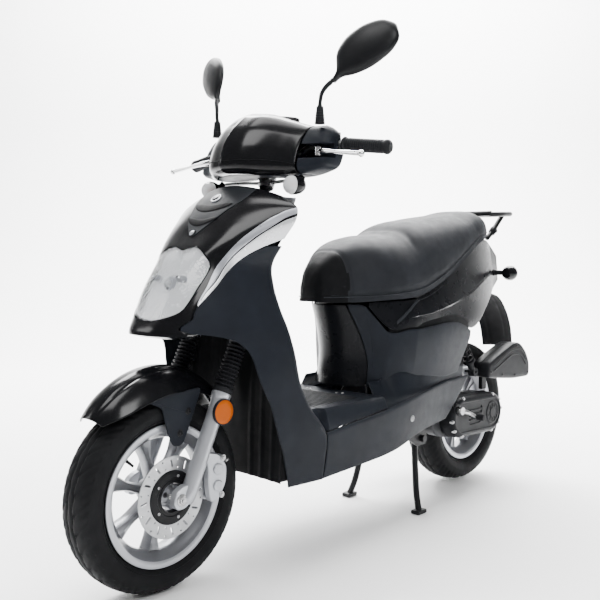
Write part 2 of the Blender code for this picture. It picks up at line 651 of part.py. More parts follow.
def luggage_rack():
    """The grab rail behind the seat: a bent tube loop, two struts and a flat slotted plate."""
    half = smooth_path([(0.084, 0.690, 0.9305), (0.099, 0.712, 0.9315), (0.101, 0.775, 0.9345),
                        (0.082, 0.838, 0.9375), (0.000, 0.853, 0.9380)], 8)
    path = half + [Vector((-p.x, p.y, p.z)) for p in reversed(half[:-1])]
    rack = tube("luggage_rack", path, 0.0085, "black_metal", sides=8)
    deck = block("guide.rack_plate", (-0.0965, 0.6925, 0.9302), (0.0965, 0.8215, 0.9391), None)
    slots = []
    for x in (-0.060, -0.020, 0.020, 0.060):
        slots.append(block(f"guide.slot{x}", (x - 0.012, 0.706, 0.90), (x + 0.012, 0.790, 0.96), None))
    cut(deck, *slots)
    bake(deck)
    guides = [deck, tube("guide.rack_front", [(-0.089, 0.6895, 0.9338), (0.089, 0.6895, 0.9338)],
                         0.0093, None,
                         sides=10)]
    for side in (-1, 1):
        strut = smooth_path([(side * 0.070, 0.806, 0.932), (side * 0.072, 0.766, 0.900),
                             (side * 0.074, 0.730, 0.872), (side * 0.076, 0.690, 0.848)], 5)
        guides.append(tube(f"guide.strut{side}", strut, 0.0085, None, sides=8))
    weld(rack, *guides)


def storage():
    """The tub under the seat and the fuel tank behind it."""
    rings = []
    for z, half, front, back in ((0.640, 0.086, -0.048, 0.378), (0.520, 0.084, -0.028, 0.372),
                                 (0.445, 0.076, -0.004, 0.345), (0.440, 0.068, 0.006, 0.335),
                                 (0.443, 0.066, 0.008, 0.333), (0.448, 0.073, -0.001, 0.342),
                                 (0.521, 0.081, -0.025, 0.369), (0.640, 0.083, -0.045, 0.375)):
        rings.append(rounded_ring(half, front, back, z))
    skin("storage_tub", rings[4:] + rings[:4], "matte_black")
    tank = [rounded_ring(0.054, 0.455, 0.655, 0.674), rounded_ring(0.058, 0.450, 0.660, 0.690),
            rounded_ring(0.058, 0.470, 0.660, 0.735), rounded_ring(0.052, 0.490, 0.655, 0.752)]
    skin("fuel_tank", tank, "black_metal")


def rounded_ring(half, front, back, z):
    """A rounded rectangle in plan at height z, as a ring of 16 points."""
    centre = (front + back) / 2
    reach = (back - front) / 2
    ring = []
    for i in range(16):
        a = 2 * math.pi * i / 16
        x = half * math.copysign(abs(math.cos(a)) ** 0.4, math.cos(a))
        y = centre + reach * math.copysign(abs(math.sin(a)) ** 0.4, math.sin(a))
        ring.append(Vector((x, y, z)))
    return ring


def seat(joint):
    """The long two-level seat on its pan."""
    rings = []
    for y in (-0.164, -0.159, -0.143, -0.115, -0.080, -0.040, 0.010, 0.070, 0.143, 0.180, 0.214, 0.300,
              0.400, 0.500, 0.580, 0.625, 0.648, 0.664):
        half, low, top = SEAT_HALF_WIDTH(y), SEAT_LOW_Z(y), SEAT_TOP_Z(y)
        ring = []
        for i in range(13):
            a = math.pi * i / 12
            x = half * math.copysign(abs(math.cos(a)) ** 0.62, math.cos(a))
            z = low + (top - low) * abs(math.sin(a)) ** 0.75
            ring.append(Vector((x, y, z)))
        rings.append(ring)
    skin("seat", rings, "seat", joint)


# Steering and front wheel
def fork_crown(joint):
    """The steering stem in the head tube, the yoke below it and the two fixed fork tubes."""
    stem = [on_steering_axis(0.600), on_steering_axis(0.985)]
    crown = tube("fork_crown", stem, 0.0150, "steel", joint, sides=16)
    yoke_z = 0.606
    centre = on_steering_axis(yoke_z)
    tilt = Quaternion((1, 0, 0), -RAKE)
    yoke = block("guide.yoke", centre - Vector((0.1045, 0.022, 0.011)),
                 centre + Vector((0.1045, 0.022, 0.011)),
                 None, turn=tilt, about=centre)
    guides = [yoke]
    for side in (-1, 1):
        across = Vector((side * FORK_HALF_TRACK, 0, 0))
        guides.append(tube(f"guide.stanchion{side}", [on_steering_axis(0.406) + across,
                                                      on_steering_axis(0.612) + across],
                           0.0135, None, sides=14))
    weld(crown, *guides)


def bar_line(side, inward=0.0):
    """The straight handlebar end on one side: its start, shifted inward, and its direction."""
    flip = Vector((side, 1, 1))
    head = (BAR_OUTER - BAR_INNER).normalized()
    start = BAR_INNER - head * inward
    return start * flip, head * flip


def handlebar(joint):
    """The steel bar and the clamp that seats it on the stem."""
    start, head = bar_line(1)
    bend = [start + head * 0.138]
    bend += smooth_path([start - head * 0.055, (0.100, -0.3060, 1.044), (0.045, -0.3000, 1.024),
                         (0.000, -0.3000, 1.020)], 7)
    path = bend + [Vector((-p.x, p.y, p.z)) for p in reversed(bend[:-1])]
    bar = tube("handlebar", path, BAR_RADIUS, "steel", joint, sides=12)
    low = on_steering_axis(0.9858)
    high = on_steering_axis(1.026)
    weld(bar, tube("guide.clamp", [low, high], 0.021, None, sides=16))


def handlebar_cowl(joint):
    """The glossy cowl in front of the bar and the matte dash behind it."""
    stations = steps(-0.153, 0.153, 13)
    rings = [cowl_ring(x) for x in stations]
    rows = [[ring[i] for ring in rings] for i in range(0, 7)]
    shell("handlebar_cowl", rows, "gloss_black", joint)
    shifts = {6: Vector((0, 0.0040, 0)), 12: Vector((0, 0.0070, 0))}
    rows = [[ring[i % 12] + shifts.get(i, Vector()) for ring in rings] for i in range(6, 13)]
    dash = shell("dash_panel", rows, "matte_black", joint)
    hole = tube("guide.stem_hole", [on_steering_axis(0.940), on_steering_axis(1.010)], 0.030, None,
                sides=16)
    cut(dash, hole)


def pods(joint):
    """The switch and lever housing at each end of the cowl, open at the front for the lever."""
    for side, word in ((1, "left"), (-1, "right")):
        rings = []
        for x, inset in ((0.156, 0.0), (0.175, 0.0), (0.200, 0.0), (0.218, 0.003), (0.223, 0.010)):
            rings.append([Vector((side * p.x, p.y, p.z)) for p in cowl_ring(x, inset)])
        pod = skin(f"switch_pod_{word}", rings, "matte_black", joint)
        slot = block(f"guide.lever_slot{side}", (min(side * 0.150, side * 0.240), -0.420, 1.022),
                     (max(side * 0.150, side * 0.240), -0.318, 1.058), None)
        start, head = bar_line(side, 0.075)
        bore = tube(f"guide.pod_bore{side}", [start, start + head * 0.14], 0.0116, None, sides=16)
        relief = block(f"guide.pod_relief{side}", (min(side * 0.150, side * 0.190), -0.326, 1.030),
                       (max(side * 0.150, side * 0.190), -0.290, 1.075), None)
        cut(pod, slot, bore, relief)
        holes = [(1.082, 0.187, 0.0066), (1.036, 0.187, 0.0076)] if side > 0 else [(1.060, 0.187,
                                                                                    0.0066)]
        for z, x, radius in holes:
            cut(pod, tube(f"guide.button{side}{z}", [(side * x, -0.286, z), (side * x, -0.240, z)],
                          radius, None, sides=16))


def buttons(horn_joint, signal_joint, start_joint):
    """The horn button and signal switch on the left, and the starter button on the right."""
    for name, x, z, radius, joint in (("horn_button", 0.187, 1.036, 0.007, horn_joint),
                                      ("start_button", -0.187, 1.060, 0.006, start_joint)):
        profile = [(0.0, radius), (0.020, radius), (0.022, radius * 0.7)]
        turned(name, profile, (x, -0.2825, z), (0, 1, 0), "matte_black", joint, sides=16, hollow=False)
    profile = [(0.0, 0.006), (0.018, 0.006), (0.020, 0.004)]
    switch = turned("signal_switch", profile, (0.187, -0.2825, 1.082), (0, 1, 0), "matte_black",
                    signal_joint,
                    sides=16, hollow=False)
    weld(switch, block("guide.switch_tab", (0.184, -0.266, 1.079), (0.190, -0.257, 1.096), None))


def grips(throttle_joint, bar_joint):
    """The fixed rubber grip on the left and the turning throttle on the right."""
    for side, name, joint in ((1, "grip_left", bar_joint), (-1, "throttle_grip", throttle_joint)):
        start, head = bar_line(side, -0.026)
        length = 0.124
        inner = BAR_RADIUS + GAP
        profile = [(length - 0.004, inner), (0.0, inner), (0.0, 0.0185), (0.004, 0.0190),
                   (0.010, 0.0160),
                   (0.060, 0.0168), (length - 0.014, 0.0170), (length - 0.002, 0.0150),
                   (length + 0.004, 0.008)]
        turned(name, profile, start, head, "rubber", joint, sides=16, hollow=False)


def levers(joints):
    """The two brake levers with ball ends, on a pivot boss."""
    for side, word in ((1, "left"), (-1, "right")):
        path = [(0.184, -0.338, 1.040), (0.205, -0.350, 1.038), (0.240, -0.357, 1.034),
                (0.290, -0.362, 1.027),
                (0.334, -0.366, 1.021)]
        path = [Vector((side * x, y, z)) for x, y, z in path]
        lever = tube(f"brake_lever_{word}", path, [0.0060, 0.0060, 0.0052, 0.0045, 0.0042], "chrome",
                     joints[side], sides=8)
        pivot = Vector((side * LEVER_PIVOT.x, LEVER_PIVOT.y, LEVER_PIVOT.z))
        boss = tube(f"guide.boss{side}", [pivot - Vector((0, 0, 0.0115)), pivot + Vector((0, 0,
                                                                                          0.0115))],
                    0.0105, None, sides=12)
        ball = turned(f"guide.ball{side}", [(-0.0082, 0.0025), (-0.005, 0.0066), (0, 0.0083), (0.005,
                                                                                               0.0066),
                                            (0.0082, 0.0025)],
                      (side * 0.3395, -0.3665, 1.0203), (side, -0.05, -0.12), None, sides=12,
                      hollow=False)
        weld(lever, boss, ball)


def mirrors(bar_joint, joints):
    """The two mirror arms with their rubber boots, and the heads on their ball joints."""
    for side, word in ((1, "left"), (-1, "right")):
        flip = Vector((side, 1, 1))
        rod = [MIRROR_BASE + Vector((0, 0, z)) for z in (0.0028, 0.012, 0.045, 0.052)]
        rod += smooth_path([(0.1875, -0.3365, 1.160), (0.190, -0.334, 1.180), (0.199, -0.327, 1.198),
                            (0.2075, -0.3195, 1.2085)], 5)
        radii = [0.0125, 0.0115, 0.0088, 0.0050] + [0.0045] * 5
        tube(f"mirror_arm_{word}", [p * flip for p in rod], radii, "black_metal", bar_joint, sides=10)
        neck = MIRROR_NECK
        rings = []
        for along, low, high, thick in MIRROR_SECTIONS:
            rings.append(mirror_ring(neck, along, low, high, thick, flip))
        skin(f"mirror_head_{word}", rings, "black_metal", joints[side])


def mirror_ring(neck, along, low, high, thick, flip):
    """One closed section of a mirror head, across its long axis."""
    axis = Vector((0.62, 0.40, 0.675)).normalized()
    facing = Vector((-0.16, 0.97, 0.0))
    facing = (facing - axis * facing.dot(axis)).normalized()
    across = axis.cross(facing).normalized()
    centre = neck + axis * along + across * (low + high) / 2
    ring = []
    for i in range(12):
        a = 2 * math.pi * i / 12
        depth = -thick * max(0.0, math.sin(a)) + 0.004 * max(0.0, -math.sin(a)) ** 0.5
        ring.append((centre + across * (high - low) / 2 * math.cos(a) + facing * (depth + 0.006)) * flip)
    return ring


def front_signals(joint):
    """The round signal lamps under the handlebar cowl."""
    for side, word in ((1, "left"), (-1, "right")):
        profile = [(-0.026, 0.010), (-0.023, 0.017), (-0.012, 0.0235), (0.006, 0.0245), (0.022, 0.021),
                   (0.034, 0.010)]
        lamp = turned(f"front_signal_{word}", profile, (side * 0.150, -0.396, 0.9565),
                      (side * 0.16, 1.0, 0),
                      "clear", joint, sides=16, hollow=False)
        stalk = tube(f"guide.signal_stalk{side}", [(side * 0.148, -0.370, 0.960), (side * 0.142, -0.352,
                                                                                   0.9755)],
                     0.009, None, sides=8)
        weld(lamp, stalk)


def fork_legs(joint):
    """The two sliding fork legs, each bored for its fixed tube and lugged for the axle."""
    for side, word in ((1, "left"), (-1, "right")):
        across = Vector((side * FORK_HALF_TRACK, 0, 0))
        low = on_steering_axis(0.2180) + across
        length = (on_steering_axis(0.458) + across - low).length
        bore = 0.0139
        profile = [(0.150, 0.001), (0.150, bore), (length, bore), (length, 0.0235),
                   (length - 0.014, 0.0235),
                   (length - 0.022, 0.0195), (0.040, 0.0190), (0.010, 0.0185), (0.0, 0.0150)]
        leg = turned(f"fork_leg_{word}", profile, low, STEERING_AXIS, "silver", joint, sides=16,
                     hollow=False)
        lug_x = side * FORK_HALF_TRACK
        lug = plate(f"guide.lug_plate{side}", [
            (-0.722, 0.222), (-0.716, 0.248), (-0.690, 0.262), (-0.662, 0.258), (-0.664, 0.226),
                                               (-0.690, 0.208),
            (-0.712, 0.208)], lug_x - 0.0095, lug_x + 0.0095, None)
        weld(leg, lug)
        if side > 0:
            weld(leg, front_axle())
        else:
            steps_in = [(-0.050, 0.0066), (0.0978, 0.0066), (0.0978, 0.0108), (0.130, 0.0108)]
            cut(leg, turned("guide.axle_hole", steps_in, FRONT_AXLE, (-1, 0, 0), None, sides=16,
                            hollow=False))


def front_axle():
    """The axle bolt, fast in the left fork leg, through the hub and the right leg."""
    profile = [(-0.108, 0.010), (-0.0985, 0.010), (-0.0983, 0.006), (0.0983, 0.006), (0.0985, 0.010),
               (0.108, 0.010)]
    return turned("guide.front_axle", profile, FRONT_AXLE, (1, 0, 0), None, sides=12, hollow=False)


def front_fender(joint):
    """The front mudguard, pointed at its tip, with a tab down each fork leg."""
    rows = []
    crown = curve((40.0, 0.268), (50.0, 0.276), (60.0, 0.285), (90.0, 0.300), (120.0, 0.288),
                  (138.0, 0.272))
    lip = curve((40.0, 0.262), (60.0, 0.240), (90.0, 0.240), (120.0, 0.250), (138.0, 0.256))
    half = curve((40.0, 0.022), (52.0, 0.056), (72.0, 0.073), (88.0, 0.072), (102.0, 0.0615),
                 (140.0, 0.0610))
    for turn in (47.0, 52.0, 60.0, 72.0, 84.0, 94.0, 104.0, 120.0, 138.0):
        a = math.radians(turn)
        row = []
        for u in (-1.0, -0.93, -0.70, -0.38, 0.0, 0.38, 0.70, 0.93, 1.0):
            share = abs(u) ** 2.4
            radius = mix(crown(turn), lip(turn), share)
            row.append(Vector((half(turn) * u, FRONT_AXLE.y - radius * math.cos(a),
                               FRONT_AXLE.z + radius * math.sin(a))))
        rows.append(row)
    fender = shell("front_fender", rows, "gloss_black", joint, thickness=0.003)
    for side in (-1, 1):
        inner, outer = side * 0.0580, side * 0.0625
        tab = plate(f"guide.tab{side}", [(-0.742, 0.452), (-0.724, 0.380), (-0.704, 0.343), (-0.668,
                                                                                             0.345),
                                         (-0.640, 0.400), (-0.610, 0.470)],
                    min(inner, outer), max(inner, outer), None)
        weld(fender, tab)


def brake(leg_joint, wheel_joint):
    """The front disc on its carrier and the caliper that straddles it behind the left leg."""
    x = 0.0600
    profile = [(-0.0018, 0.062), (-0.0018, 0.095), (0.0018, 0.095), (0.0018, 0.062), (0.0060, 0.058),
               (0.0060, 0.034), (-0.0040, 0.030), (-0.0040, 0.058)]
    turned("brake_disc", profile, (x, FRONT_AXLE.y, FRONT_AXLE.z), (1, 0, 0), "steel", wheel_joint,
           sides=24)
    outline = [(-0.618, 0.322), (-0.575, 0.312), (-0.548, 0.280), (-0.550, 0.240), (-0.572, 0.202),
               (-0.615, 0.196), (-0.632, 0.240), (-0.636, 0.285)]
    caliper = plate("brake_caliper", outline, 0.0460, 0.0830, "silver", leg_joint)
    slot = turned("guide.disc_slot", [(-0.0032, 0.010), (-0.0032, 0.0965), (0.0032, 0.0965), (0.0032,
                                                                                              0.010)],
                  (x, FRONT_AXLE.y, FRONT_AXLE.z), (1, 0, 0), None, sides=24)
    cut(caliper, slot)
    clearance = tube("guide.caliper_leg", [on_steering_axis(0.15) + Vector((FORK_HALF_TRACK, 0, 0)),
                                           on_steering_axis(0.40) + Vector((FORK_HALF_TRACK, 0, 0))],
                     0.0200, None, sides=16)
    cut(caliper, clearance)


def wheel(word, centre, radius, width, joint, phase):
    """A tyre as an open-bottomed ring, and its cast rim with flared spokes and a bored hub."""
    half = width / 2
    wall = 0.009
    bead = RIM_RADIUS - 0.0122
    outer = [(-0.0375, bead), (-0.0370, RIM_RADIUS + 0.001), (-half, mix(RIM_RADIUS, radius, 0.42)),
             (-half * 0.93, mix(RIM_RADIUS, radius, 0.72)),
             (-half * 0.58, mix(RIM_RADIUS, radius, 0.945)),
             (0.0, radius)]
    outer += [(-x, r) for x, r in reversed(outer[:-1])]
    inner = [(0.0286, bead), (0.0290, RIM_RADIUS), (half - wall - 0.003, mix(RIM_RADIUS, radius, 0.45)),
             (0.0, radius - 0.0125)]
    inner += [(-x, r) for x, r in reversed(inner[:-1])]
    turned(f"{word}_tyre", outer + inner, centre, (1, 0, 0), "rubber", joint, start=math.pi)
    seat_r = bead - 0.0008
    barrel = [(0.0435, RIM_RADIUS), (0.0435, 0.1470), (0.0200, 0.1330)]
    well = [(0.0385, RIM_RADIUS), (0.0380, seat_r), (0.0175, 0.1390)]
    profile = barrel + [(-x, r) for x, r in reversed(barrel)] + well_mirror(well)
    rim = turned(f"{word}_rim", profile, centre, (1, 0, 0), "silver", joint)
    bore = 0.0065 if word == "front" else 0.0070
    hub = turned(f"guide.{word}_hub", [(-0.0400, bore), (-0.0400, 0.027), (-0.016, 0.034), (0.016,
                                                                                            0.034),
                                       (0.0400, 0.027), (0.0400, bore)], centre, (1, 0, 0), None,
                 sides=18)
    spokes = bmesh.new()
    for i in range(SPOKES):
        turn = Quaternion((1, 0, 0), phase + 2 * math.pi * i / SPOKES)
        rows = []
        for r, w, d in ((0.0300, 0.0115, 0.015), (0.085, 0.0105, 0.015), (0.1365, 0.0180, 0.018)):
            corners = [(-d, -w), (d, -w), (d, w), (-d, w)]
            rows.append([spokes.verts.new(Vector(centre) + turn @ Vector((x, t, r))) for x,
                         t in corners])
        for a, b in zip(rows, rows[1:]):
            for k in range(4):
                spokes.faces.new((a[k], a[(k + 1) % 4], b[(k + 1) % 4], b[k]))
        spokes.faces.new(rows[0])
        spokes.faces.new(rows[-1])
    bmesh.ops.recalc_face_normals(spokes, faces=spokes.faces)
    arms = piece(f"guide.{word}_spokes", spokes, None)
    weld(arms, hub)
    if word == "rear":
        weld(arms, rear_axle())
    bake(arms)
    weld(rim, arms)


def well_mirror(well):
    """The tyre side of the rim, from the left flange across the well to the right flange."""
    mirrored = [(-x, r) for x, r in well]
    return mirrored + list(reversed(well))


# Engine and rear wheel
def engine_case(joint):
    """The crankcase, cylinder and long gear case that carry the rear axle."""
    case = block("engine_case", (-0.088, 0.262, 0.212), (0.0650, 0.372, 0.352), "silver", joint)
    arm = plate("guide.gear_case", [(0.330, 0.215), (0.330, 0.330), (0.420, 0.338), (0.640, 0.322),
                                    (0.690, 0.280), (0.690, 0.225), (0.650, 0.195), (0.400, 0.195)],
                0.0630, 0.0980, None)
    cylinder = block("guide.cylinder", (-0.060, 0.110, 0.246), (0.050, 0.270, 0.342), None)
    ear = plate("guide.hanger", [(0.180, 0.320), (0.178, 0.382), (0.190, 0.396), (0.212, 0.396),
                                 (0.290, 0.345), (0.290, 0.320)], -0.060, 0.060, None)
    lug = plate("guide.rod_lug", [(0.535, 0.310), (0.545, 0.404), (0.560, 0.411), (0.575, 0.404),
                                  (0.590, 0.310)],
                0.0840, 0.0925, None)
    pin = tube("guide.rod_pin", [SHOCK_BOTTOM - Vector((0.017, 0, 0)), SHOCK_BOTTOM + Vector((0.014, 0,
                                                                                              0))],
               PIN_RADIUS, None, sides=12)
    weld(case, arm, cylinder, ear, lug, pin)
    bolt = tube("guide.engine_bore", [(-0.10, SWING_PIVOT.y, SWING_PIVOT.z), (0.10, SWING_PIVOT.y,
                                                                              SWING_PIVOT.z)],
                0.0066, None, sides=16)
    axle = tube("guide.axle_bore", [(0.05, REAR_AXLE.y, REAR_AXLE.z), (0.0970, REAR_AXLE.y,
                                                                       REAR_AXLE.z)],
                0.0088, None, sides=16)
    kick = tube("guide.kick_bore", [(0.085, KICK_PIVOT.y, KICK_PIVOT.z), (0.12, KICK_PIVOT.y,
                                                                          KICK_PIVOT.z)],
                0.0092, None, sides=16)
    cut(case, bolt, axle, kick)


def rear_axle():
    """The driven axle, splined fast in the rear hub."""
    profile = [(-0.060, 0.0110), (-0.0460, 0.0110), (-0.0440, 0.0085), (0.0880, 0.0082)]
    return turned("guide.rear_axle", profile, REAR_AXLE, (1, 0, 0), None, sides=16, hollow=False)


def stadium(front, back, radius, count=8):
    """An outline of two half rounds, front and back, as (y, z) points."""
    points = []
    for centre, first in ((front, math.pi / 2), (back, -math.pi / 2)):
        for i in range(count):
            a = first + math.pi * i / (count - 1)
            points.append((centre[0] + radius * math.cos(a), centre[1] + radius * math.sin(a)))
    return points


def cvt_cover(joint):
    """The belt drive cover over the gear case."""
    rings = []
    for x, radius in ((0.0985, 0.068), (0.1400, 0.066), (0.1500, 0.056)):
        outline = stadium((0.432, 0.263), (0.622, 0.256), radius)
        rings.append([Vector((x, y, z)) for y, z in outline])
    cover = skin("cvt_cover", rings, "matte_black", joint)
    cut(cover, tube("guide.kick_hole", [(0.08, KICK_PIVOT.y, KICK_PIVOT.z), (0.17, KICK_PIVOT.y,
                                                                             KICK_PIVOT.z)],
                    0.0092, None, sides=16))


def kick_lever(joint):
    """The kick starter: its shaft, its arm and its rubber pedal."""
    profile = [(-0.048, 0.0085), (-0.006, 0.0085), (-0.006, 0.013), (0.010, 0.013)]
    lever = turned("kick_lever", profile, KICK_PIVOT, (1, 0, 0), "black_metal", joint, sides=14,
                   hollow=False)
    arm = tube("guide.kick_arm", [KICK_PIVOT + Vector((0.002, 0, 0)), (0.165, 0.430, 0.282), (0.167,
                                                                                              0.472, 0.264)],
               [0.0070, 0.0060, 0.0060], None, sides=8)
    pedal = tube("guide.kick_pedal", [(0.158, 0.474, 0.263), (0.200, 0.474, 0.263)], 0.0105, None,
                 sides=10)
    weld(lever, arm, pedal)


def air_box(joint):
    """The air cleaner housing over the gear case, beside the rear tyre, and its duct."""
    outline = [(0.602, 0.385), (0.606, 0.420), (0.650, 0.438), (0.780, 0.480), (0.832, 0.478),
               (0.880, 0.440),
               (0.905, 0.400), (0.905, 0.349), (0.790, 0.352), (0.640, 0.368), (0.612, 0.372)]
    body = plate("air_box", outline, 0.0750, 0.1400, "matte_black", joint)
    edge = body.modifiers.new("edge", "BEVEL")
    edge.width = 0.008
    edge.segments = 2
    edge.limit_method = "ANGLE"
    edge.angle_limit = math.radians(60)
    post = block("guide.air_box_foot", (0.080, 0.640, 0.325), (0.095, 0.670, 0.380), None)
    weld(body, post)


def muffler(joint):
    """The silencer on the right with its pipe from the cylinder."""
    head = Vector((0, 1, 0.12)).normalized()
    centre = Vector((-0.150, 0.490, 0.262))
    profile = [(0.0, 0.030), (0.012, 0.046), (0.040, 0.052), (0.270, 0.052), (0.292, 0.046),
               (0.300, 0.030),
               (0.300, 0.011), (0.297, 0.011), (0.297, 0.028), (0.289, 0.0435), (0.270, 0.049),
               (0.040, 0.049),
               (0.014, 0.0435), (0.003, 0.028)]
    body = turned("muffler", profile, centre, head, "black_metal", joint, sides=18, hollow=False)
    pipe = tube("guide.pipe", smooth_path([
        (-0.020, 0.150, 0.2425), (-0.020, 0.150, 0.215), (-0.040, 0.180, 0.184), (-0.060, 0.280, 0.180),
        (-0.068, 0.355, 0.184), (-0.085, 0.405, 0.215), (-0.118, 0.455, 0.250), (-0.148, 0.505, 0.264)],
                                          11),
        0.0120, None, sides=8)
    bracket = plate("guide.bracket", [(0.560, 0.275), (0.560, 0.300), (0.350, 0.300), (0.350, 0.260)],
                    -0.104, -0.0884, None)
    weld(body, pipe, bracket)


def shock(body_joint, rod_joint):
    """The rear shock absorber: the outer tube hung from the frame and the rod in it."""
    axis = (SHOCK_BOTTOM - SHOCK_TOP).normalized()
    length = (SHOCK_BOTTOM - SHOCK_TOP).length
    bore = [(0.095, 0.0072), (0.024, 0.0072), (0.024, 0.001)]
    outer = [(0.014, 0.001), (0.014, 0.016), (0.026, 0.020), (0.032, 0.020), (0.034, 0.014),
             (0.095, 0.014)]
    tube_part = turned("shock_body", outer + bore, SHOCK_TOP, axis, "black_metal", body_joint, sides=14,
                       hollow=False)
    eye = tube("guide.shock_eye", [SHOCK_TOP - Vector((0.011, 0, 0)), SHOCK_TOP + Vector((0.011, 0,
                                                                                          0))],
               0.0160, None, sides=14)
    pin_hole = tube("guide.eye_hole", [SHOCK_TOP - Vector((0.020, 0, 0)), SHOCK_TOP + Vector((0.020, 0,
                                                                                              0))],
                    PIN_RADIUS + 0.0005, None, sides=12)
    weld(tube_part, eye)
    cut(tube_part, pin_hole)
    rod_profile = [(0.084, 0.0064), (0.150, 0.0064), (0.152, 0.0200), (0.158, 0.0200), (0.162, 0.0110),
                   (length - 0.008, 0.0110)]
    rod = turned("shock_rod", rod_profile, SHOCK_TOP, axis, "steel", rod_joint, sides=14, hollow=False)
    foot = tube("guide.rod_eye", [SHOCK_BOTTOM - Vector((0.010, 0, 0)), SHOCK_BOTTOM + Vector((0.010, 0,
                                                                                               0))],
                0.0150, None, sides=14)
    hole = tube("guide.rod_hole", [SHOCK_BOTTOM - Vector((0.020, 0, 0)), SHOCK_BOTTOM + Vector((0.020,
                                                                                                0, 0))],
                0.0075, None, sides=14)
    weld(rod, foot)
    cut(rod, hole)


def centre_stand(joint):
    """The two-legged stand with flat soles, a cross tube and a foot tang."""
    y, z = STAND_PIVOT.y, STAND_PIVOT.z
    profile = [(-0.112, 0.014), (0.112, 0.014), (0.112, 0.0066), (-0.112, 0.0066)]
    stand = turned("centre_stand", profile, STAND_PIVOT, (1, 0, 0), "black_metal", joint, sides=16)
    guides = []
    for side in (-1, 1):
        leg = [(side * 0.096, y - 0.002, z - 0.012), (side * 0.108, mix(y, STAND_FOOT_Y, 0.4), mix(z, 0,
                                                                                                   0.45)),
               (side * 0.124, mix(y, STAND_FOOT_Y, 0.8), 0.040),
               (side * STAND_FOOT_X, STAND_FOOT_Y, 0.008)]
        guides.append(tube(f"guide.stand_leg{side}", leg, 0.010, None, sides=10))
        low = (side * STAND_FOOT_X - 0.016, STAND_FOOT_Y - 0.024, 0.0)
        high = (side * STAND_FOOT_X + 0.016, STAND_FOOT_Y + 0.024, 0.013)
        guides.append(block(f"guide.sole{side}", low, high, None))
    weld(stand, *guides)


def build():
    """Make every piece."""
    clear_scene()
    make_looks()
    steering = joint_at("joint.steering", STEERING_FOOT)
    slide = joint_at("joint.fork", on_steering_axis(0.400), steering)
    front = joint_at("joint.front_wheel", FRONT_AXLE, slide)
    swing = joint_at("joint.swing", SWING_PIVOT)
    rear = joint_at("joint.rear_wheel", REAR_AXLE, swing)
    kick = joint_at("joint.kick", KICK_PIVOT, swing)
    stand = joint_at("joint.stand", STAND_PIVOT)
    seat_joint = joint_at("joint.seat", SEAT_HINGE)
    shock_top = joint_at("joint.shock", SHOCK_TOP)
    shock_slide = joint_at("joint.shock_rod", SHOCK_BOTTOM, shock_top)
    throttle = joint_at("joint.throttle", bar_line(-1)[0], steering)
    lever_joints = {}
    mirror_joints = {}
    for side in (-1, 1):
        flip = Vector((side, 1, 1))
        lever_joints[side] = joint_at(f"joint.lever{side}", LEVER_PIVOT * flip, steering)
        mirror_joints[side] = joint_at(f"joint.mirror{side}", MIRROR_NECK * flip, steering)
    horn = joint_at("joint.horn", (0.187, -0.262, 1.036), steering)
    signal = joint_at("joint.signal", (0.187, -0.262, 1.082), steering)
    start = joint_at("joint.start", (-0.187, -0.262, 1.060), steering)

    main_frame()
    front_cowl()
    headlight()
    wings()
    knee_panel()
    wheel_arch_liner()
    floorboard()
    skirts()
    seat_box()
    tail()
    luggage_rack()
    storage()
    seat(seat_joint)

    fork_crown(steering)
    handlebar(steering)
    handlebar_cowl(steering)
    pods(steering)
    buttons(horn, signal, start)
    grips(throttle, steering)
    levers(lever_joints)
    mirrors(steering, mirror_joints)
    front_signals(steering)
    fork_legs(slide)
    front_fender(slide)
    brake(slide, front)
    wheel("front", FRONT_AXLE, FRONT_TYRE_RADIUS, FRONT_TYRE_WIDTH, front, math.radians(18.0))

    engine_case(swing)
    cvt_cover(swing)
    kick_lever(kick)
    air_box(swing)
    muffler(swing)
    wheel("rear", REAR_AXLE, REAR_TYRE_RADIUS, REAR_TYRE_WIDTH, rear, math.radians(8.0))
    shock(shock_top, shock_slide)
    centre_stand(stand)


build()
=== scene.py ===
import math

import bmesh
import bpy
import numpy as np
from mathutils import Matrix, Quaternion, Vector


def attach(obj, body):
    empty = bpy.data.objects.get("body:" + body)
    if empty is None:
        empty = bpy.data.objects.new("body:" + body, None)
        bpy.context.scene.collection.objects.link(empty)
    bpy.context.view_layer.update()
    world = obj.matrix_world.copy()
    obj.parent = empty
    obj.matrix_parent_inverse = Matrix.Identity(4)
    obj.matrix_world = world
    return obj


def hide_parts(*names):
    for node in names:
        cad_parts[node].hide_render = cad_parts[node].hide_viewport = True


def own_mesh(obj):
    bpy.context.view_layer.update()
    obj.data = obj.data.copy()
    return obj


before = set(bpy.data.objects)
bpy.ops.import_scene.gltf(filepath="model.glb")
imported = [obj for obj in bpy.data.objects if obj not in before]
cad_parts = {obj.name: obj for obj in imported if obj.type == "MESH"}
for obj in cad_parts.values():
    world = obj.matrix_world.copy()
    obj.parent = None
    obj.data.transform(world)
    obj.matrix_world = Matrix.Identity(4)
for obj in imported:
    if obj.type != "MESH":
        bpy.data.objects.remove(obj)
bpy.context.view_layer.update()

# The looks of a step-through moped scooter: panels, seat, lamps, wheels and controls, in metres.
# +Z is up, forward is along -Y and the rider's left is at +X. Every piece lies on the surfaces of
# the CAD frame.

# Driving dimensions, the same as the frame's
FRONT_AXLE = Vector((0.0, -0.700, 0.2295))
REAR_AXLE = Vector((0.0, 0.620, 0.247))
FRONT_TYRE_RADIUS = 0.2295
REAR_TYRE_RADIUS = 0.239
FRONT_TYRE_WIDTH = 0.110
REAR_TYRE_WIDTH = 0.120
RIM_RADIUS = 0.1665
SPOKES = 7
RAKE = math.radians(25.0)
STEERING_FOOT = Vector((0.0, -0.677, 0.2295))
STEERING_AXIS = Vector((0.0, math.sin(RAKE), math.cos(RAKE)))
FORK_HALF_TRACK = 0.088
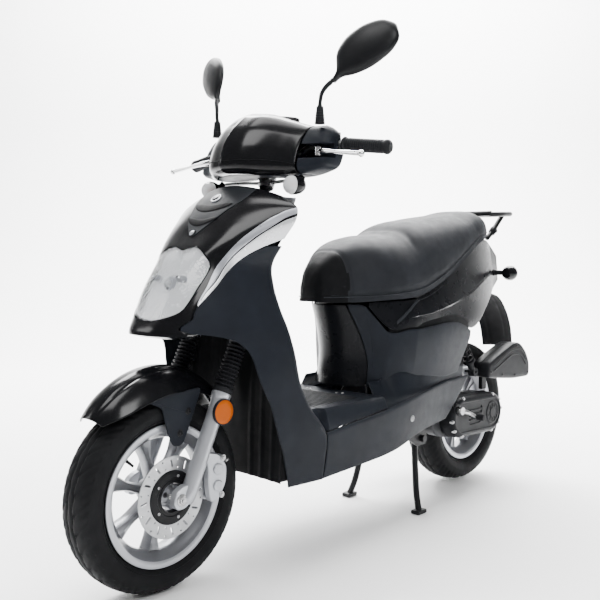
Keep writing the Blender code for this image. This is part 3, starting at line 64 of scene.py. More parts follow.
KICK_PIVOT = Vector((0.158, 0.395, 0.292))
SHOCK_TOP = Vector((0.105, 0.440, 0.560))
SHOCK_BOTTOM = Vector((0.105, 0.560, 0.395))
BAR_INNER = Vector((0.205, -0.300, 1.0605))
BAR_OUTER = Vector((0.354, -0.2712, 1.0433))
LEVER_PIVOT = Vector((0.184, -0.338, 1.040))
MIRROR_BASE = Vector((0.1865, -0.336, 1.104))
MIRROR_NECK = Vector((0.210, -0.317, 1.212))
MIRROR_SECTIONS = (
    (0.000, -0.006, 0.006, 0.0080), (0.022, -0.008, 0.014, 0.0120), (0.048, -0.026, 0.046, 0.0180),
    (0.082, -0.042, 0.062, 0.0220), (0.120, -0.050, 0.062, 0.0240), (0.158, -0.050, 0.050, 0.0220),
    (0.188, -0.036, 0.028, 0.0160), (0.203, -0.018, 0.010, 0.0080),
)
MIRROR_SLIMMING = 0.964
WALL = 0.003
X_AXIS = Vector((1, 0, 0))
Y_AXIS = Vector((0, 1, 0))
Z_AXIS = Vector((0, 0, 1))
SIDES = ((1, "left"), (-1, "right"))


# Curves
def curve(*points):
    """A smooth function through (place, value) points, level beyond both ends."""
    places = np.array([place for place, _ in points], float)
    values = np.array([value for _, value in points], float)
    slopes = np.gradient(values, places)

    def at(place):
        place = min(max(place, places[0]), places[-1])
        i = min(max(int(np.searchsorted(places, place)) - 1, 0), len(places) - 2)
        span = places[i + 1] - places[i]
        t = (place - places[i]) / span
        start = (1 + 2 * t) * (1 - t) ** 2 * values[i] + t * (1 - t) ** 2 * span * slopes[i]
        end = t * t * (3 - 2 * t) * values[i + 1] + t * t * (t - 1) * span * slopes[i + 1]
        return float(start + end)

    return at


def steps(low, high, count):
    """Evenly spaced values from low to high."""
    return [low + (high - low) * i / (count - 1) for i in range(count)]


def mix(a, b, t):
    """The value a share t of the way from a to b."""
    return a + (b - a) * t


def clamp(value):
    """A value held between 0 and 1."""
    return min(1.0, max(0.0, value))


def round_turns(count):
    """Evenly spaced turns round a full circle."""
    return steps(0, 2 * math.pi, count + 1)[:-1]


def signed_power(value, power):
    """A power that keeps the sign."""
    return math.copysign(abs(value) ** power, value)


def ball(length, radius, count):
    """The (along, radius) profile of a ball."""
    return [(length * math.sin(a), max(0.0006, radius * math.cos(a))) for a in steps(-1.5, 1.5, count)]


def crossed(columns):
    """Columns of points as rows."""
    return [list(row) for row in zip(*columns)]


def on_steering_axis(z):
    """The point of the steering axis at height z."""
    return STEERING_FOOT + STEERING_AXIS * ((z - STEERING_FOOT.z) / STEERING_AXIS.z)


def circle(centre, axis, radius, sides):
    """Points around an axis, as a ring."""
    axis = Vector(axis).normalized()
    across = Z_AXIS if abs(axis.z) < 0.9 else Y_AXIS
    across = (across - axis * across.dot(axis)).normalized()
    side = axis.cross(across)
    return [Vector(centre) + radius * (across * math.cos(a) + side * math.sin(a))
            for a in round_turns(sides)]


def smooth_path(points, count):
    """Points along a smooth line through a few given ones."""
    points = [Vector(p) for p in points]
    lengths = [0.0]
    for a, b in zip(points, points[1:]):
        lengths.append(lengths[-1] + (b - a).length)
    lines = [curve(*[(s, p[k]) for s, p in zip(lengths, points)]) for k in range(3)]
    return [Vector([line(s) for line in lines]) for s in steps(0, lengths[-1], count)]


# Outer surfaces
FRONT_CENTRE_Y = curve(
    (0.215, -0.640), (0.450, -0.710), (0.560, -0.728), (0.610, -0.738), (0.634, -0.724),
    (0.710, -0.684), (0.792, -0.622), (0.829, -0.589), (0.891, -0.539), (0.922, -0.507),
    (0.957, -0.462),
)
FRONT_EDGE_Y = curve(
    (0.215, -0.312), (0.270, -0.312), (0.325, -0.314), (0.360, -0.336), (0.400, -0.371),
    (0.450, -0.400), (0.560, -0.430), (0.654, -0.455), (0.735, -0.463), (0.820, -0.455),
    (0.900, -0.440), (0.957, -0.430),
)
FRONT_HALF_WIDTH = curve(
    (0.215, 0.184), (0.333, 0.197), (0.450, 0.190), (0.560, 0.185), (0.610, 0.178), (0.660, 0.162),
    (0.710, 0.148), (0.760, 0.143), (0.820, 0.179), (0.870, 0.209), (0.910, 0.206), (0.957, 0.150),
)
FRONT_POWER = curve(
    (0.215, 7.0), (0.450, 6.5), (0.560, 3.2), (0.610, 3.0), (0.660, 3.7), (0.710, 4.2), (0.760, 4.5),
    (0.820, 4.0), (0.870, 2.5), (0.910, 2.0), (0.957, 1.9),
)
WING_FRONT = curve(
    (0.215, 0.940), (0.330, 0.930), (0.445, 0.938), (0.477, 0.925), (0.512, 0.900), (0.545, 0.869),
    (0.573, 0.831), (0.590, 0.785), (0.600, 0.700), (0.607, 0.575), (0.640, 0.610), (0.667, 0.650),
    (0.705, 0.756), (0.750, 0.831), (0.780, 0.875), (0.800, 0.925), (0.815, 0.985),
)
CROWN_START_Z = 0.820
CROWN_DROP = 0.030
FLOOR_Z = 0.396
FRONT_LOW_Z = 0.592
FRONT_LIP = ((0.085, 0.600), (0.045, 0.597), (0.012, 0.590))
FRONT_TOP_Z = 0.957
WING_TOP_Z = 0.815
SHIELD_LOW_Z = 0.217
SHIELD_TOP_Z = 0.805


def crowned(z, across):
    """A height, lowered towards both sides where the front is crowned."""
    rise = max(0.0, (z - CROWN_START_Z) / (FRONT_TOP_Z - CROWN_START_Z))
    return z - CROWN_DROP * (across * rise) ** 2


def front_point(z, across):
    """The front skin at height z; across runs from the right edge, -1, to the left edge, 1."""
    depth = FRONT_EDGE_Y(z) - FRONT_CENTRE_Y(z)
    y = FRONT_CENTRE_Y(z) + depth * abs(across) ** FRONT_POWER(z)
    return Vector((FRONT_HALF_WIDTH(z) * across, y, crowned(z, across)))


BODY_HALF_WIDTH = curve(
    (-0.030, 0.098), (0.000, 0.113), (0.030, 0.130), (0.070, 0.145), (0.160, 0.160),
    (0.430, 0.150), (0.600, 0.122), (0.700, 0.096), (0.820, 0.056),
)
BODY_BULGE = curve((0.340, -0.010), (0.420, 0.000), (0.585, 0.020), (0.660, 0.002), (0.850, -0.016))
BODY_FRONT_Y = curve((0.413, -0.083), (0.490, -0.071), (0.544, -0.076), (0.645, -0.106))
BODY_FRONT_CURVE = 7.5
PANEL_HALF_WIDTH = curve((0.412, 0.092), (0.480, 0.090), (0.645, 0.063))
BODY_CORNER_X = 0.100


def body_point(y, z):
    """The left side of the body under the seat, at a station along its length and a height."""
    share = clamp((y + 0.030) / 0.150)
    return Vector((BODY_HALF_WIDTH(y) + BODY_BULGE(z) * share, y, z))


def body_front_point(x, z):
    """The front of the body under the seat, which curves back towards both sides."""
    return Vector((x, BODY_FRONT_Y(z) + BODY_FRONT_CURVE * x * x, z))


COVER_LOW_Z = curve((-0.050, 0.404), (0.000, 0.404), (0.025, 0.425), (0.045, 0.440), (0.150, 0.432),
                    (0.313, 0.415), (0.400, 0.424))
COVER_TOP_Z = curve((-0.040, 0.646), (-0.030, 0.640), (0.018, 0.574), (0.100, 0.572), (0.380, 0.568),
                    (0.432, 0.546))
TAIL_LOW_Z = curve((-0.022, 0.642), (0.028, 0.580), (0.100, 0.578), (0.390, 0.574), (0.440, 0.556),
                   (0.600, 0.612), (0.820, 0.702))
TAIL_TOP_Z = curve((-0.022, 0.650), (0.020, 0.653), (0.166, 0.662), (0.300, 0.708), (0.430, 0.770),
                   (0.560, 0.822), (0.650, 0.842), (0.740, 0.832), (0.820, 0.786))
SKIRT_LOW_Z = curve((-0.310, 0.217), (-0.190, 0.224), (0.000, 0.238), (0.120, 0.262), (0.318, 0.276))
SKIRT_TOP_Z = curve((-0.310, 0.333), (-0.190, 0.345), (-0.074, 0.356), (0.097, 0.379), (0.318, 0.398))
SKIRT_HALF_WIDTH = curve((-0.310, 0.196), (-0.100, 0.200), (0.050, 0.198), (0.318, 0.164), (0.450, 0.152))

SEAT_TOP_Z = curve((-0.164, 0.695), (-0.159, 0.720), (-0.146, 0.749), (-0.124, 0.774), (-0.092, 0.797),
                   (-0.046, 0.818), (0.000, 0.832), (0.060, 0.842), (0.143, 0.852), (0.214, 0.882),
                   (0.320, 0.901), (0.480, 0.921), (0.610, 0.936), (0.645, 0.925), (0.664, 0.892))
SEAT_LOW_Z = curve((-0.164, 0.656), (-0.110, 0.653), (0.000, 0.658), (0.170, 0.672), (0.300, 0.717),
                   (0.430, 0.779), (0.552, 0.832), (0.664, 0.862))
SEAT_HALF_WIDTH = curve((-0.164, 0.022), (-0.159, 0.036), (-0.140, 0.052), (-0.110, 0.070),
                        (-0.085, 0.088), (-0.048, 0.114), (0.000, 0.141), (0.060, 0.157), (0.170, 0.164),
                        (0.350, 0.158), (0.520, 0.138), (0.610, 0.118), (0.645, 0.098), (0.664, 0.066))

COWL_NOSE_Y = curve((0.000, -0.496), (0.060, -0.476), (0.120, -0.420), (0.170, -0.378), (0.225, -0.362))
COWL_TOP_Y = curve((0.000, -0.371), (0.080, -0.350), (0.140, -0.322), (0.225, -0.312))
COWL_TOP_Z = curve((0.000, 1.148), (0.050, 1.142), (0.100, 1.124), (0.150, 1.108), (0.200, 1.103),
                   (0.225, 1.090))
COWL_BACK_Y = curve((0.000, -0.262), (0.150, -0.266), (0.225, -0.278))
COWL_NOSE_Z = curve((0.000, 1.016), (0.120, 1.014), (0.170, 1.004), (0.225, 1.010))
COWL_LOW_HEIGHT = curve((0.000, 0.984), (0.150, 0.984), (0.225, 1.000))


def cowl_ring(x, drawn=0.0):
    """The outline of the handlebar cowl at a station across the scooter, drawn in by a distance."""
    across = abs(x)
    nose, top_y, back = COWL_NOSE_Y(across), COWL_TOP_Y(across), COWL_BACK_Y(across)
    nose_z, top_z, low_z = COWL_NOSE_Z(across), COWL_TOP_Z(across), COWL_LOW_HEIGHT(across)
    outline = [
        (mix(nose, back, 0.14), low_z), (nose + 0.003, mix(nose_z, low_z, 0.6)), (nose, nose_z),
        (mix(nose, top_y, 0.12), mix(nose_z, top_z, 0.33)),
        (mix(nose, top_y, 0.36), mix(nose_z, top_z, 0.66)),
        (mix(nose, top_y, 0.68), mix(nose_z, top_z, 0.91)), (top_y, top_z),
        (mix(top_y, back, 0.5), top_z - 0.006), (back - 0.012, top_z - 0.022),
        (back, mix(low_z, top_z, 0.45)), (back - 0.012, low_z + 0.012), (mix(nose, back, 0.7), low_z),
    ]
    middle = Vector((x, mix(nose, back, 0.55), mix(low_z, top_z, 0.45)))
    ring = [Vector((x, y, z)) for y, z in outline]
    return [p + (middle - p).normalized() * drawn for p in ring]


# Materials
LOOKS = {}


def texture(tree, kind, scale, **settings):
    """A procedural texture that lies still on the object."""
    node = tree.nodes.new(kind)
    place = tree.nodes.new("ShaderNodeTexCoord")
    tree.links.new(place.outputs["Object"], node.inputs["Vector"])
    node.inputs["Scale"].default_value = scale
    for key, value in settings.items():
        setattr(node, key, value)
    return node


def relief(tree, source, height, before=None):
    """A bump of a given height in metres from a texture's output, on top of another one."""
    node = tree.nodes.new("ShaderNodeBump")
    node.inputs["Strength"].default_value = 1.0
    node.inputs["Distance"].default_value = height
    tree.links.new(source, node.inputs["Height"])
    if before:
        tree.links.new(before, node.inputs["Normal"])
    return node.outputs["Normal"]


def finish(name, slot, colour, rough, metal=0.0, spread=0.15, mottle=14.0, grain=(700.0, 0.00006),
           cells=None, edge_wear_and_highlight=0.0, dust=0.0, **sockets):
    """A procedural finish: clouded colour, uneven gloss, a fine grain, cells, and lighter edges that are
    part wear, part painted highlight.
    """
    material = bpy.data.materials.new(name)
    material.use_nodes = True
    tree = material.node_tree
    shader = tree.nodes["Principled BSDF"]
    shader.inputs["Metallic"].default_value = metal
    for socket, value in sockets.items():
        shader.inputs[socket.replace("_", " ")].default_value = value
    clouds = texture(tree, "ShaderNodeTexNoise", mottle)
    clouds.inputs["Detail"].default_value = 5.0
    ramp = tree.nodes.new("ShaderNodeValToRGB")
    low, high = ramp.color_ramp.elements
    low.position, high.position = 0.30, 0.72
    low.color = (*[c * (1 - spread) for c in colour], 1.0)
    high.color = (*[min(1.0, c * (1 + spread) + dust) for c in colour], 1.0)
    tree.links.new(clouds.outputs["Fac"], ramp.inputs["Fac"])
    tint = ramp.outputs["Color"]
    # Lighter convex edges from pointiness: partly wear, partly a painted highlight along the rims.
    if edge_wear_and_highlight:
        geometry = tree.nodes.new("ShaderNodeNewGeometry")
        edges = tree.nodes.new("ShaderNodeMapRange")
        edges.inputs["From Min"].default_value = 0.52
        edges.inputs["From Max"].default_value = 0.64
        edges.inputs["To Max"].default_value = edge_wear_and_highlight
        tree.links.new(geometry.outputs["Pointiness"], edges.inputs["Value"])
        blend = tree.nodes.new("ShaderNodeMixRGB")
        blend.inputs["Color2"].default_value = (*[min(1.0, c * 2.0 + 0.05) for c in colour], 1.0)
        tree.links.new(edges.outputs["Result"], blend.inputs["Fac"])
        tree.links.new(tint, blend.inputs["Color1"])
        tint = blend.outputs["Color"]
    tree.links.new(tint, shader.inputs["Base Color"])
    smears = texture(tree, "ShaderNodeTexNoise", mottle * 2.7)
    span = tree.nodes.new("ShaderNodeMapRange")
    span.inputs["To Min"].default_value = rough * 0.80
    span.inputs["To Max"].default_value = min(1.0, rough * 1.25)
    tree.links.new(smears.outputs["Fac"], span.inputs["Value"])
    tree.links.new(span.outputs["Result"], shader.inputs["Roughness"])
    fine = texture(tree, "ShaderNodeTexNoise", grain[0])
    normal = relief(tree, fine.outputs["Fac"], grain[1])
    if cells:
        pattern = texture(tree, "ShaderNodeTexVoronoi", cells[0], feature="F1")
        normal = relief(tree, pattern.outputs["Distance"], cells[1], normal)
    tree.links.new(normal, shader.inputs["Normal"])
    LOOKS[name] = material


def make_looks():
    """Every finish on the scooter."""
    finish("gloss", "gloss_black", (0.0035, 0.0037, 0.0045), 0.17, grain=(120.0, 0.00002), spread=0.06,
           Specular_IOR_Level=0.24)
    finish("tail_gloss", "gloss_black", (0.0050, 0.0054, 0.0068), 0.28, spread=0.04,
           grain=(60.0, 0.000005), Specular_IOR_Level=0.10)
    # Near-white, barely metallic reflector finish: a painted reflection standing in for the light a
    # mirrored lamp bowl throws back.
    finish("reflector_painted_shine", "silver", (0.9400, 0.9450, 0.9550), 0.25, metal=0.12, spread=0.03,
           grain=(300.0, 0.00002))
    finish("matte", "matte_black", (0.0085, 0.0104, 0.0146), 0.46, grain=(1500.0, 0.00010), edge_wear_and_highlight=0.06,
           cells=(1300.0, 0.00005), Specular_IOR_Level=0.09)
    finish("dark", "matte_black", (0.0035, 0.0038, 0.0046), 0.60, grain=(1300.0, 0.00010),
           Specular_IOR_Level=0.08)
    finish("grey_insert", "matte_black", (0.0140, 0.0155, 0.0185), 0.48, grain=(1500.0, 0.00008),
           Specular_IOR_Level=0.12)
    finish("vinyl", "seat_cover", (0.0125, 0.0138, 0.0170), 0.55, grain=(420.0, 0.00012),
           cells=(520.0, 0.00022), edge_wear_and_highlight=0.06, Specular_IOR_Level=0.10)
    finish("vinyl_dark", "seat_cover", (0.0040, 0.0043, 0.0052), 0.60, grain=(420.0, 0.00012),
           cells=(640.0, 0.00020), Specular_IOR_Level=0.07)
    finish("thread", "seat_cover", (0.0220, 0.0240, 0.0280), 0.70, grain=(2600.0, 0.00015),
           Specular_IOR_Level=0.10)
    finish("grip", "grip_rubber", (0.0070, 0.0075, 0.0090), 0.58, grain=(1100.0, 0.00012), edge_wear_and_highlight=0.10,
           Specular_IOR_Level=0.12)
    finish("tyre", "tyre_rubber", (0.0048, 0.0051, 0.0060), 0.66, mottle=9.0, grain=(800.0, 0.00018),
           dust=0.001, edge_wear_and_highlight=0.08, Specular_IOR_Level=0.14)
    finish("silver", "silver", (0.3600, 0.3700, 0.3950), 0.32, metal=0.60, spread=0.06,
           grain=(1800.0, 0.00003), cells=(1500.0, 0.00002), edge_wear_and_highlight=0.30, Coat_Weight=0.2,
           Coat_Roughness=0.12)
    finish("wheel", "silver", (0.2000, 0.2050, 0.2200), 0.34, metal=0.60, spread=0.06,
           grain=(1800.0, 0.00003), edge_wear_and_highlight=0.30, Coat_Weight=0.15, Coat_Roughness=0.15)
    finish("silver_bright", "silver", (0.6400, 0.6500, 0.6700), 0.26, metal=0.45, spread=0.05,
           grain=(1800.0, 0.00002), Coat_Weight=0.4, Coat_Roughness=0.06)
    finish("silver_grey", "silver", (0.3100, 0.3200, 0.3500), 0.30, metal=0.50, spread=0.06,
           grain=(1800.0, 0.00002), Coat_Weight=0.4, Coat_Roughness=0.06)
    finish("cast", "silver", (0.0360, 0.0370, 0.0400), 0.50, metal=0.40, spread=0.12,
           grain=(420.0, 0.00020), cells=(600.0, 0.00012), edge_wear_and_highlight=0.15, Specular_IOR_Level=0.30)
    finish("steel", "steel", (0.4000, 0.4000, 0.4050), 0.28, metal=1.0, spread=0.08, grain=(900.0, 0.00003))
    finish("disc", "steel", (0.4000, 0.4050, 0.4150), 0.34, metal=0.85, spread=0.10, mottle=40.0,
           grain=(1600.0, 0.00005))
    finish("chrome", "chrome", (0.8200, 0.8200, 0.8300), 0.07, metal=1.0, spread=0.04,
           grain=(60.0, 0.00001))
    finish("paint", "black_metal", (0.0045, 0.0048, 0.0058), 0.38, grain=(700.0, 0.00004), edge_wear_and_highlight=0.08,
           Specular_IOR_Level=0.18)
    finish("cover", "matte_black", (0.0065, 0.0070, 0.0084), 0.42, grain=(900.0, 0.00012), edge_wear_and_highlight=0.06,
           Specular_IOR_Level=0.09)
    finish("glass", "clear_lens", (0.97, 0.98, 0.99), 0.03, spread=0.01, grain=(40.0, 0.00001),
           cells=(150.0, 0.00050), Transmission_Weight=1.0, IOR=1.45)
    # Milky glass. On the signal lenses this whiteness is painted brightness, standing in for the light a
    # clear lens gathers.
    finish("bulb", "clear_lens", (0.93, 0.94, 0.95), 0.10, spread=0.03, grain=(80.0, 0.00001),
           cells=(260.0, 0.00050), Transmission_Weight=0.45, IOR=1.45)
    finish("mirror", "mirror_glass", (0.86, 0.87, 0.89), 0.02, metal=1.0, spread=0.02,
           grain=(30.0, 0.000002))
    finish("amber", "amber_lens", (0.3700, 0.0720, 0.0020), 0.34, spread=0.10, grain=(300.0, 0.00006),
           cells=(330.0, 0.00020), Specular_IOR_Level=0.10)
    finish("red", "red_lens", (0.3400, 0.0080, 0.0070), 0.16, spread=0.12, grain=(200.0, 0.00003),
           cells=(260.0, 0.00050), Coat_Weight=0.5, Coat_Roughness=0.04)
    finish("screen", "matte_black", (0.1150, 0.1400, 0.1200), 0.20, spread=0.08, grain=(900.0, 0.00002),
           Coat_Weight=0.8, Coat_Roughness=0.03)


# Shapes
class Shape:
    """Points and faces that grow piece by piece; each method hands the shape back."""

    def __init__(self):
        self.points = []
        self.faces = []

    def add(self, points, faces):
        """More points, and faces that count them from zero."""
        first = len(self.points)
        self.points += [tuple(p) for p in points]
        self.faces += [[first + i for i in face] for face in faces]
        return self

    def rings(self, rings, loop=False):
        """A closed skin through rings of equal count; loop joins the last to the first."""
        count, wide = len(rings), len(rings[0])
        faces = []
        for r in range(count if loop else count - 1):
            low, high = r * wide, ((r + 1) % count) * wide
            faces += [(low + i, low + (i + 1) % wide, high + (i + 1) % wide, high + i) for i in range(wide)]
        if not loop:
            faces.append(list(range(wide)))
            faces.append([(count - 1) * wide + i for i in range(wide)])
        return self.add([p for ring in rings for p in ring], faces)

    def turned(self, profile, centre, axis, sides=48, loop=False):
        """A turned solid from (along, radius) points."""
        axis = Vector(axis).normalized()
        spots = [(Vector(centre) + axis * along, radius) for along, radius in profile]
        return self.rings([circle(spot, axis, radius, sides) for spot, radius in spots], loop)

    def tube(self, path, radius, sides=14):
        """A round bar with closed ends; radius is one value or one for each point."""
        path = [Vector(p) for p in path]
        radii = list(radius) if isinstance(radius, (list, tuple)) else [radius] * len(path)
        runs = [(b - a).normalized() for a, b in zip(path, path[1:])]
        heads = [runs[0]] + [(a + b).normalized() for a, b in zip(runs, runs[1:])] + [runs[-1]]
        across = heads[0].orthogonal().normalized()
        rings = []
        for spot, head, size in zip(path, heads, radii):
            across = (across - head * across.dot(head)).normalized()
            side = head.cross(across)
            rings.append([spot + size * (across * math.cos(a) + side * math.sin(a))
                          for a in round_turns(sides)])
        return self.rings(rings)

    def prism(self, outline, push, bevel=0.001):
        """A flat outline pushed along a vector, with chamfered rims."""
        push = Vector(push)
        outline = [Vector(p) for p in outline]
        drawn_in = inset(outline, push.normalized(), bevel)
        step = push.normalized() * bevel
        return self.rings([drawn_in, [p + step for p in outline], [p + push - step for p in outline],
                           [p + push for p in drawn_in]])

    def box(self, low, high, bevel=0.002, turn=None, about=None):
        """A box between two corners with round edges, turned about a point if asked."""
        low, high = Vector(low), Vector(high)
        corners = [(low.y, low.z), (high.y, low.z), (high.y, high.z), (low.y, high.z)]
        outline = side_outline(low.x, corners, bevel)
        push = Vector((high.x - low.x, 0, 0))
        if turn:
            about = Vector(about) if about else (low + high) / 2
            outline = [about + turn @ (p - about) for p in outline]
            push = turn @ push
        return self.prism(outline, push, bevel * 0.6)

    def bolt(self, centre, axis, radius):
        """A washer and a domed screw head with a recess."""
        profile = [(-0.002, radius * 1.35), (0.0006, radius * 1.35), (0.0008, radius),
                   (radius * 0.45, radius * 0.96), (radius * 0.72, radius * 0.70),
                   (radius * 0.76, radius * 0.42), (radius * 0.40, radius * 0.36)]
        return self.turned(profile, centre, axis, 24)

    def hex_nut(self, centre, axis, radius, height):
        """A hexagon head on a washer."""
        self.turned([(-0.001, radius * 1.5), (0.0012, radius * 1.5), (0.0016, radius * 1.42)], centre,
                    axis, 24)
        return self.turned([(0.0, radius), (height * 0.8, radius), (height, radius * 0.86)], centre, axis,
                           6)


def inset(outline, normal, distance):
    """A closed flat outline drawn in by a distance."""
    middle = sum(outline, Vector()) / len(outline)
    result = []
    for i, spot in enumerate(outline):
        before, after = outline[i - 1], outline[(i + 1) % len(outline)]
        inward = normal.cross((after - before).normalized())
        if inward.dot(middle - spot) < 0 and (middle - spot).length > distance * 4:
            inward = -inward
        result.append(spot + inward * distance)
    return result


def rounded(outline, radius, count=4):
    """A closed outline with every corner rounded."""
    result = []
    for i, corner in enumerate(outline):
        before, after = outline[i - 1] - corner, outline[(i + 1) % len(outline)] - corner
        reach = min(radius, before.length * 0.45, after.length * 0.45)
        start, end = corner + before.normalized() * reach, corner + after.normalized() * reach
        for t in steps(0, 1, count):
            result.append(start * (1 - t) ** 2 + corner * 2 * t * (1 - t) + end * t * t)
    return result


def side_outline(x, points, radius, count=4):
    """A rounded outline of (y, z) points at a station across the scooter."""
    return rounded([Vector((x, y, z)) for y, z in points], radius, count)


def flipped(point, side):
    """A point on the side asked for, mirrored in X on the right."""
    return Vector((point[0] * side, point[1], point[2]))


def closed_mesh(name, shape):
    """A mesh from a shape, its faces turned outward."""
    mesh = bpy.data.meshes.new(name)
    mesh.from_pydata(shape.points, [], shape.faces)
    bm = bmesh.new()
    bm.from_mesh(mesh)
    bmesh.ops.recalc_face_normals(bm, faces=bm.faces)
    bm.to_mesh(mesh)
    bm.free()
    return mesh


def skin_mesh(name, rows):
    """An open mesh through rows of points of equal count."""
    wide = len(rows[0])
    faces = []
    for r in range(len(rows) - 1):
        low, high = r * wide, (r + 1) * wide
        faces += [(low + i, low + i + 1, high + i + 1, high + i) for i in range(wide - 1)]
    mesh = bpy.data.meshes.new(name)
    mesh.from_pydata([tuple(p) for row in rows for p in row], [], faces)
    return mesh


def place(name, mesh, look, body, replaced, sharp):
    """An object from a mesh, with its finish, the body it rides on and the frame nodes it stands for."""
    mesh.shade_smooth()
    mesh.set_sharp_from_angle(angle=math.radians(sharp))
    mesh.materials.append(LOOKS[look])
    obj = bpy.data.objects.new(name, mesh)
    bpy.context.scene.collection.objects.link(obj)
    if body:
        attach(obj, body)
    if replaced:
        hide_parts(*([replaced] if isinstance(replaced, str) else replaced))
    return obj


def piece(name, shape, look, body, replaced=(), sharp=35.0):
    """A closed piece from a shape."""
    return place(name, closed_mesh(name, shape), look, body, replaced, sharp)


def panel(name, rows, look, body, replaced=(), wall=WALL, side=1, rim=0.0007, sharp=35.0):
    """A moulded panel from rows of points on its outer face, thickened inward, with softened edges."""
    if side < 0:
        rows = [[flipped(p, -1) for p in reversed(row)] for row in rows]
    obj = place(name, skin_mesh(name, rows), look, body, replaced, sharp)
    skin = obj.modifiers.new("wall", "SOLIDIFY")
    skin.thickness = wall
    skin.offset = -1.0
    if rim:
        soften(obj, rim)
    return obj


def soften(obj, width):
    """Rounded edges."""
    bevel = obj.modifiers.new("edges", "BEVEL")
    bevel.width = width
    bevel.segments = 2
    bevel.limit_method = "ANGLE"
    bevel.angle_limit = math.radians(50)


def carve(obj, *cutters):
    """Cut shapes out of a piece and keep the result as its mesh."""
    tools = []
    for shape in cutters:
        tool = bpy.data.objects.new("tool", closed_mesh("tool", shape))
        bpy.context.scene.collection.objects.link(tool)
        tools.append(tool)
        step = obj.modifiers.new("cut", "BOOLEAN")
        step.operation = "DIFFERENCE"
        step.solver = "EXACT"
        step.object = tool
        obj.modifiers.move(len(obj.modifiers) - 1, 1 if obj.modifiers[0].type == "SOLIDIFY" else 0)
    evaluated = obj.evaluated_get(bpy.context.evaluated_depsgraph_get())
    cut = bpy.data.meshes.new_from_object(evaluated)
    obj.modifiers.clear()
    obj.data = cut
    for tool in tools:
        bpy.data.objects.remove(tool)


def refinish(node, look):
    """A frame node that keeps its shape and gets a finer material."""
    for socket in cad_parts[node].material_slots:
        socket.material = LOOKS[look]


# Front bodywork
LAMP_HALF = ((0.000, 0.795), (0.022, 0.801), (0.042, 0.803), (0.076, 0.788), (0.096, 0.765),
             (0.0975, 0.738), (0.0945, 0.708), (0.091, 0.680), (0.083, 0.655), (0.056, 0.640),
             (0.028, 0.633), (0.000, 0.631))
LAMP_MIDDLE = Vector((0.0, 0.0, 0.715))
STRIPE_LINES = (
    ((0.667, 0.650), (0.685, 0.706), (0.705, 0.756), (0.750, 0.831), (0.780, 0.875), (0.800, 0.925),
     (0.820, 0.998)),
    ((0.668, 0.652), (0.685, 0.681), (0.745, 0.788), (0.795, 0.812), (0.833, 0.844), (0.865, 0.894),
     (0.890, 0.998)),
    ((0.672, 0.645), (0.720, 0.715), (0.768, 0.742), (0.820, 0.744), (0.855, 0.769), (0.887, 0.856),
     (0.910, 0.998)),
)


def front_at(x, z):
    """The front skin at a place given across and up."""
    return front_point(z, x / FRONT_HALF_WIDTH(z))


def front_normal(z, across):
    """The outward direction of the front skin."""
    up = front_point(z + 0.003, across) - front_point(z - 0.003, across)
    side = front_point(z, min(1.0, across + 0.02)) - front_point(z, across - 0.02)
    return side.cross(up).normalized()


def on_front(z, across, lift):
    """A point lifted off the front skin."""
    return front_point(z, across) + front_normal(z, across) * lift


def cowl_limit(z):
    """How far across the glossy cowl reaches at a height."""
    return min(1.0, WING_FRONT(max(z, 0.607)) - 0.015) if z < WING_TOP_Z + 0.004 else 1.0


def lamp_outline(scale):
    """The outline of the head lamp as a smooth closed loop of (x, z) places."""
    half = smooth_path([(x, 0, z) for x, z in LAMP_HALF], 30)
    loop = half + [Vector((-p.x, 0, p.z)) for p in reversed(half[1:-1])]
    return [LAMP_MIDDLE + (p - LAMP_MIDDLE) * scale for p in loop]


def lamp_ring(scale, depth):
    """The lamp's outline, shrunk and set back from the front skin."""
    return [front_at(p.x, p.z) + Vector((0, depth, 0)) for p in lamp_outline(scale)]


def front_cowl():
    """The glossy front panel with the lamp opening, and the lip under its nose."""
    rows = []
    limit = WING_FRONT(0.607) - 0.03
    lips = smooth_path([(back, 0, z) for back, z in FRONT_LIP], 7)
    for lip in lips[:-1]:
        row = [front_point(FRONT_LOW_Z, limit * u) for u in steps(-1, 1, 61)]
        rows.append([Vector((p.x * (1 - lip.x), p.y + lip.x * (1 - abs(p.x) * 3), lip.z)) for p in row])
    for z in steps(0.599, FRONT_TOP_Z, 76):
        rows.append([front_point(z, cowl_limit(z) * u) for u in steps(-1, 1, 61)])
    cowl = panel("front_cowl_skin", rows, "gloss", "frame", "front_cowl", rim=0.0)
    hole = Shape()
    hole.rings([[Vector((p.x, y, p.z)) for p in lamp_outline(1.008)] for y in (-0.80, -0.53)])
    carve(cowl, hole)
    soften(cowl, 0.0009)


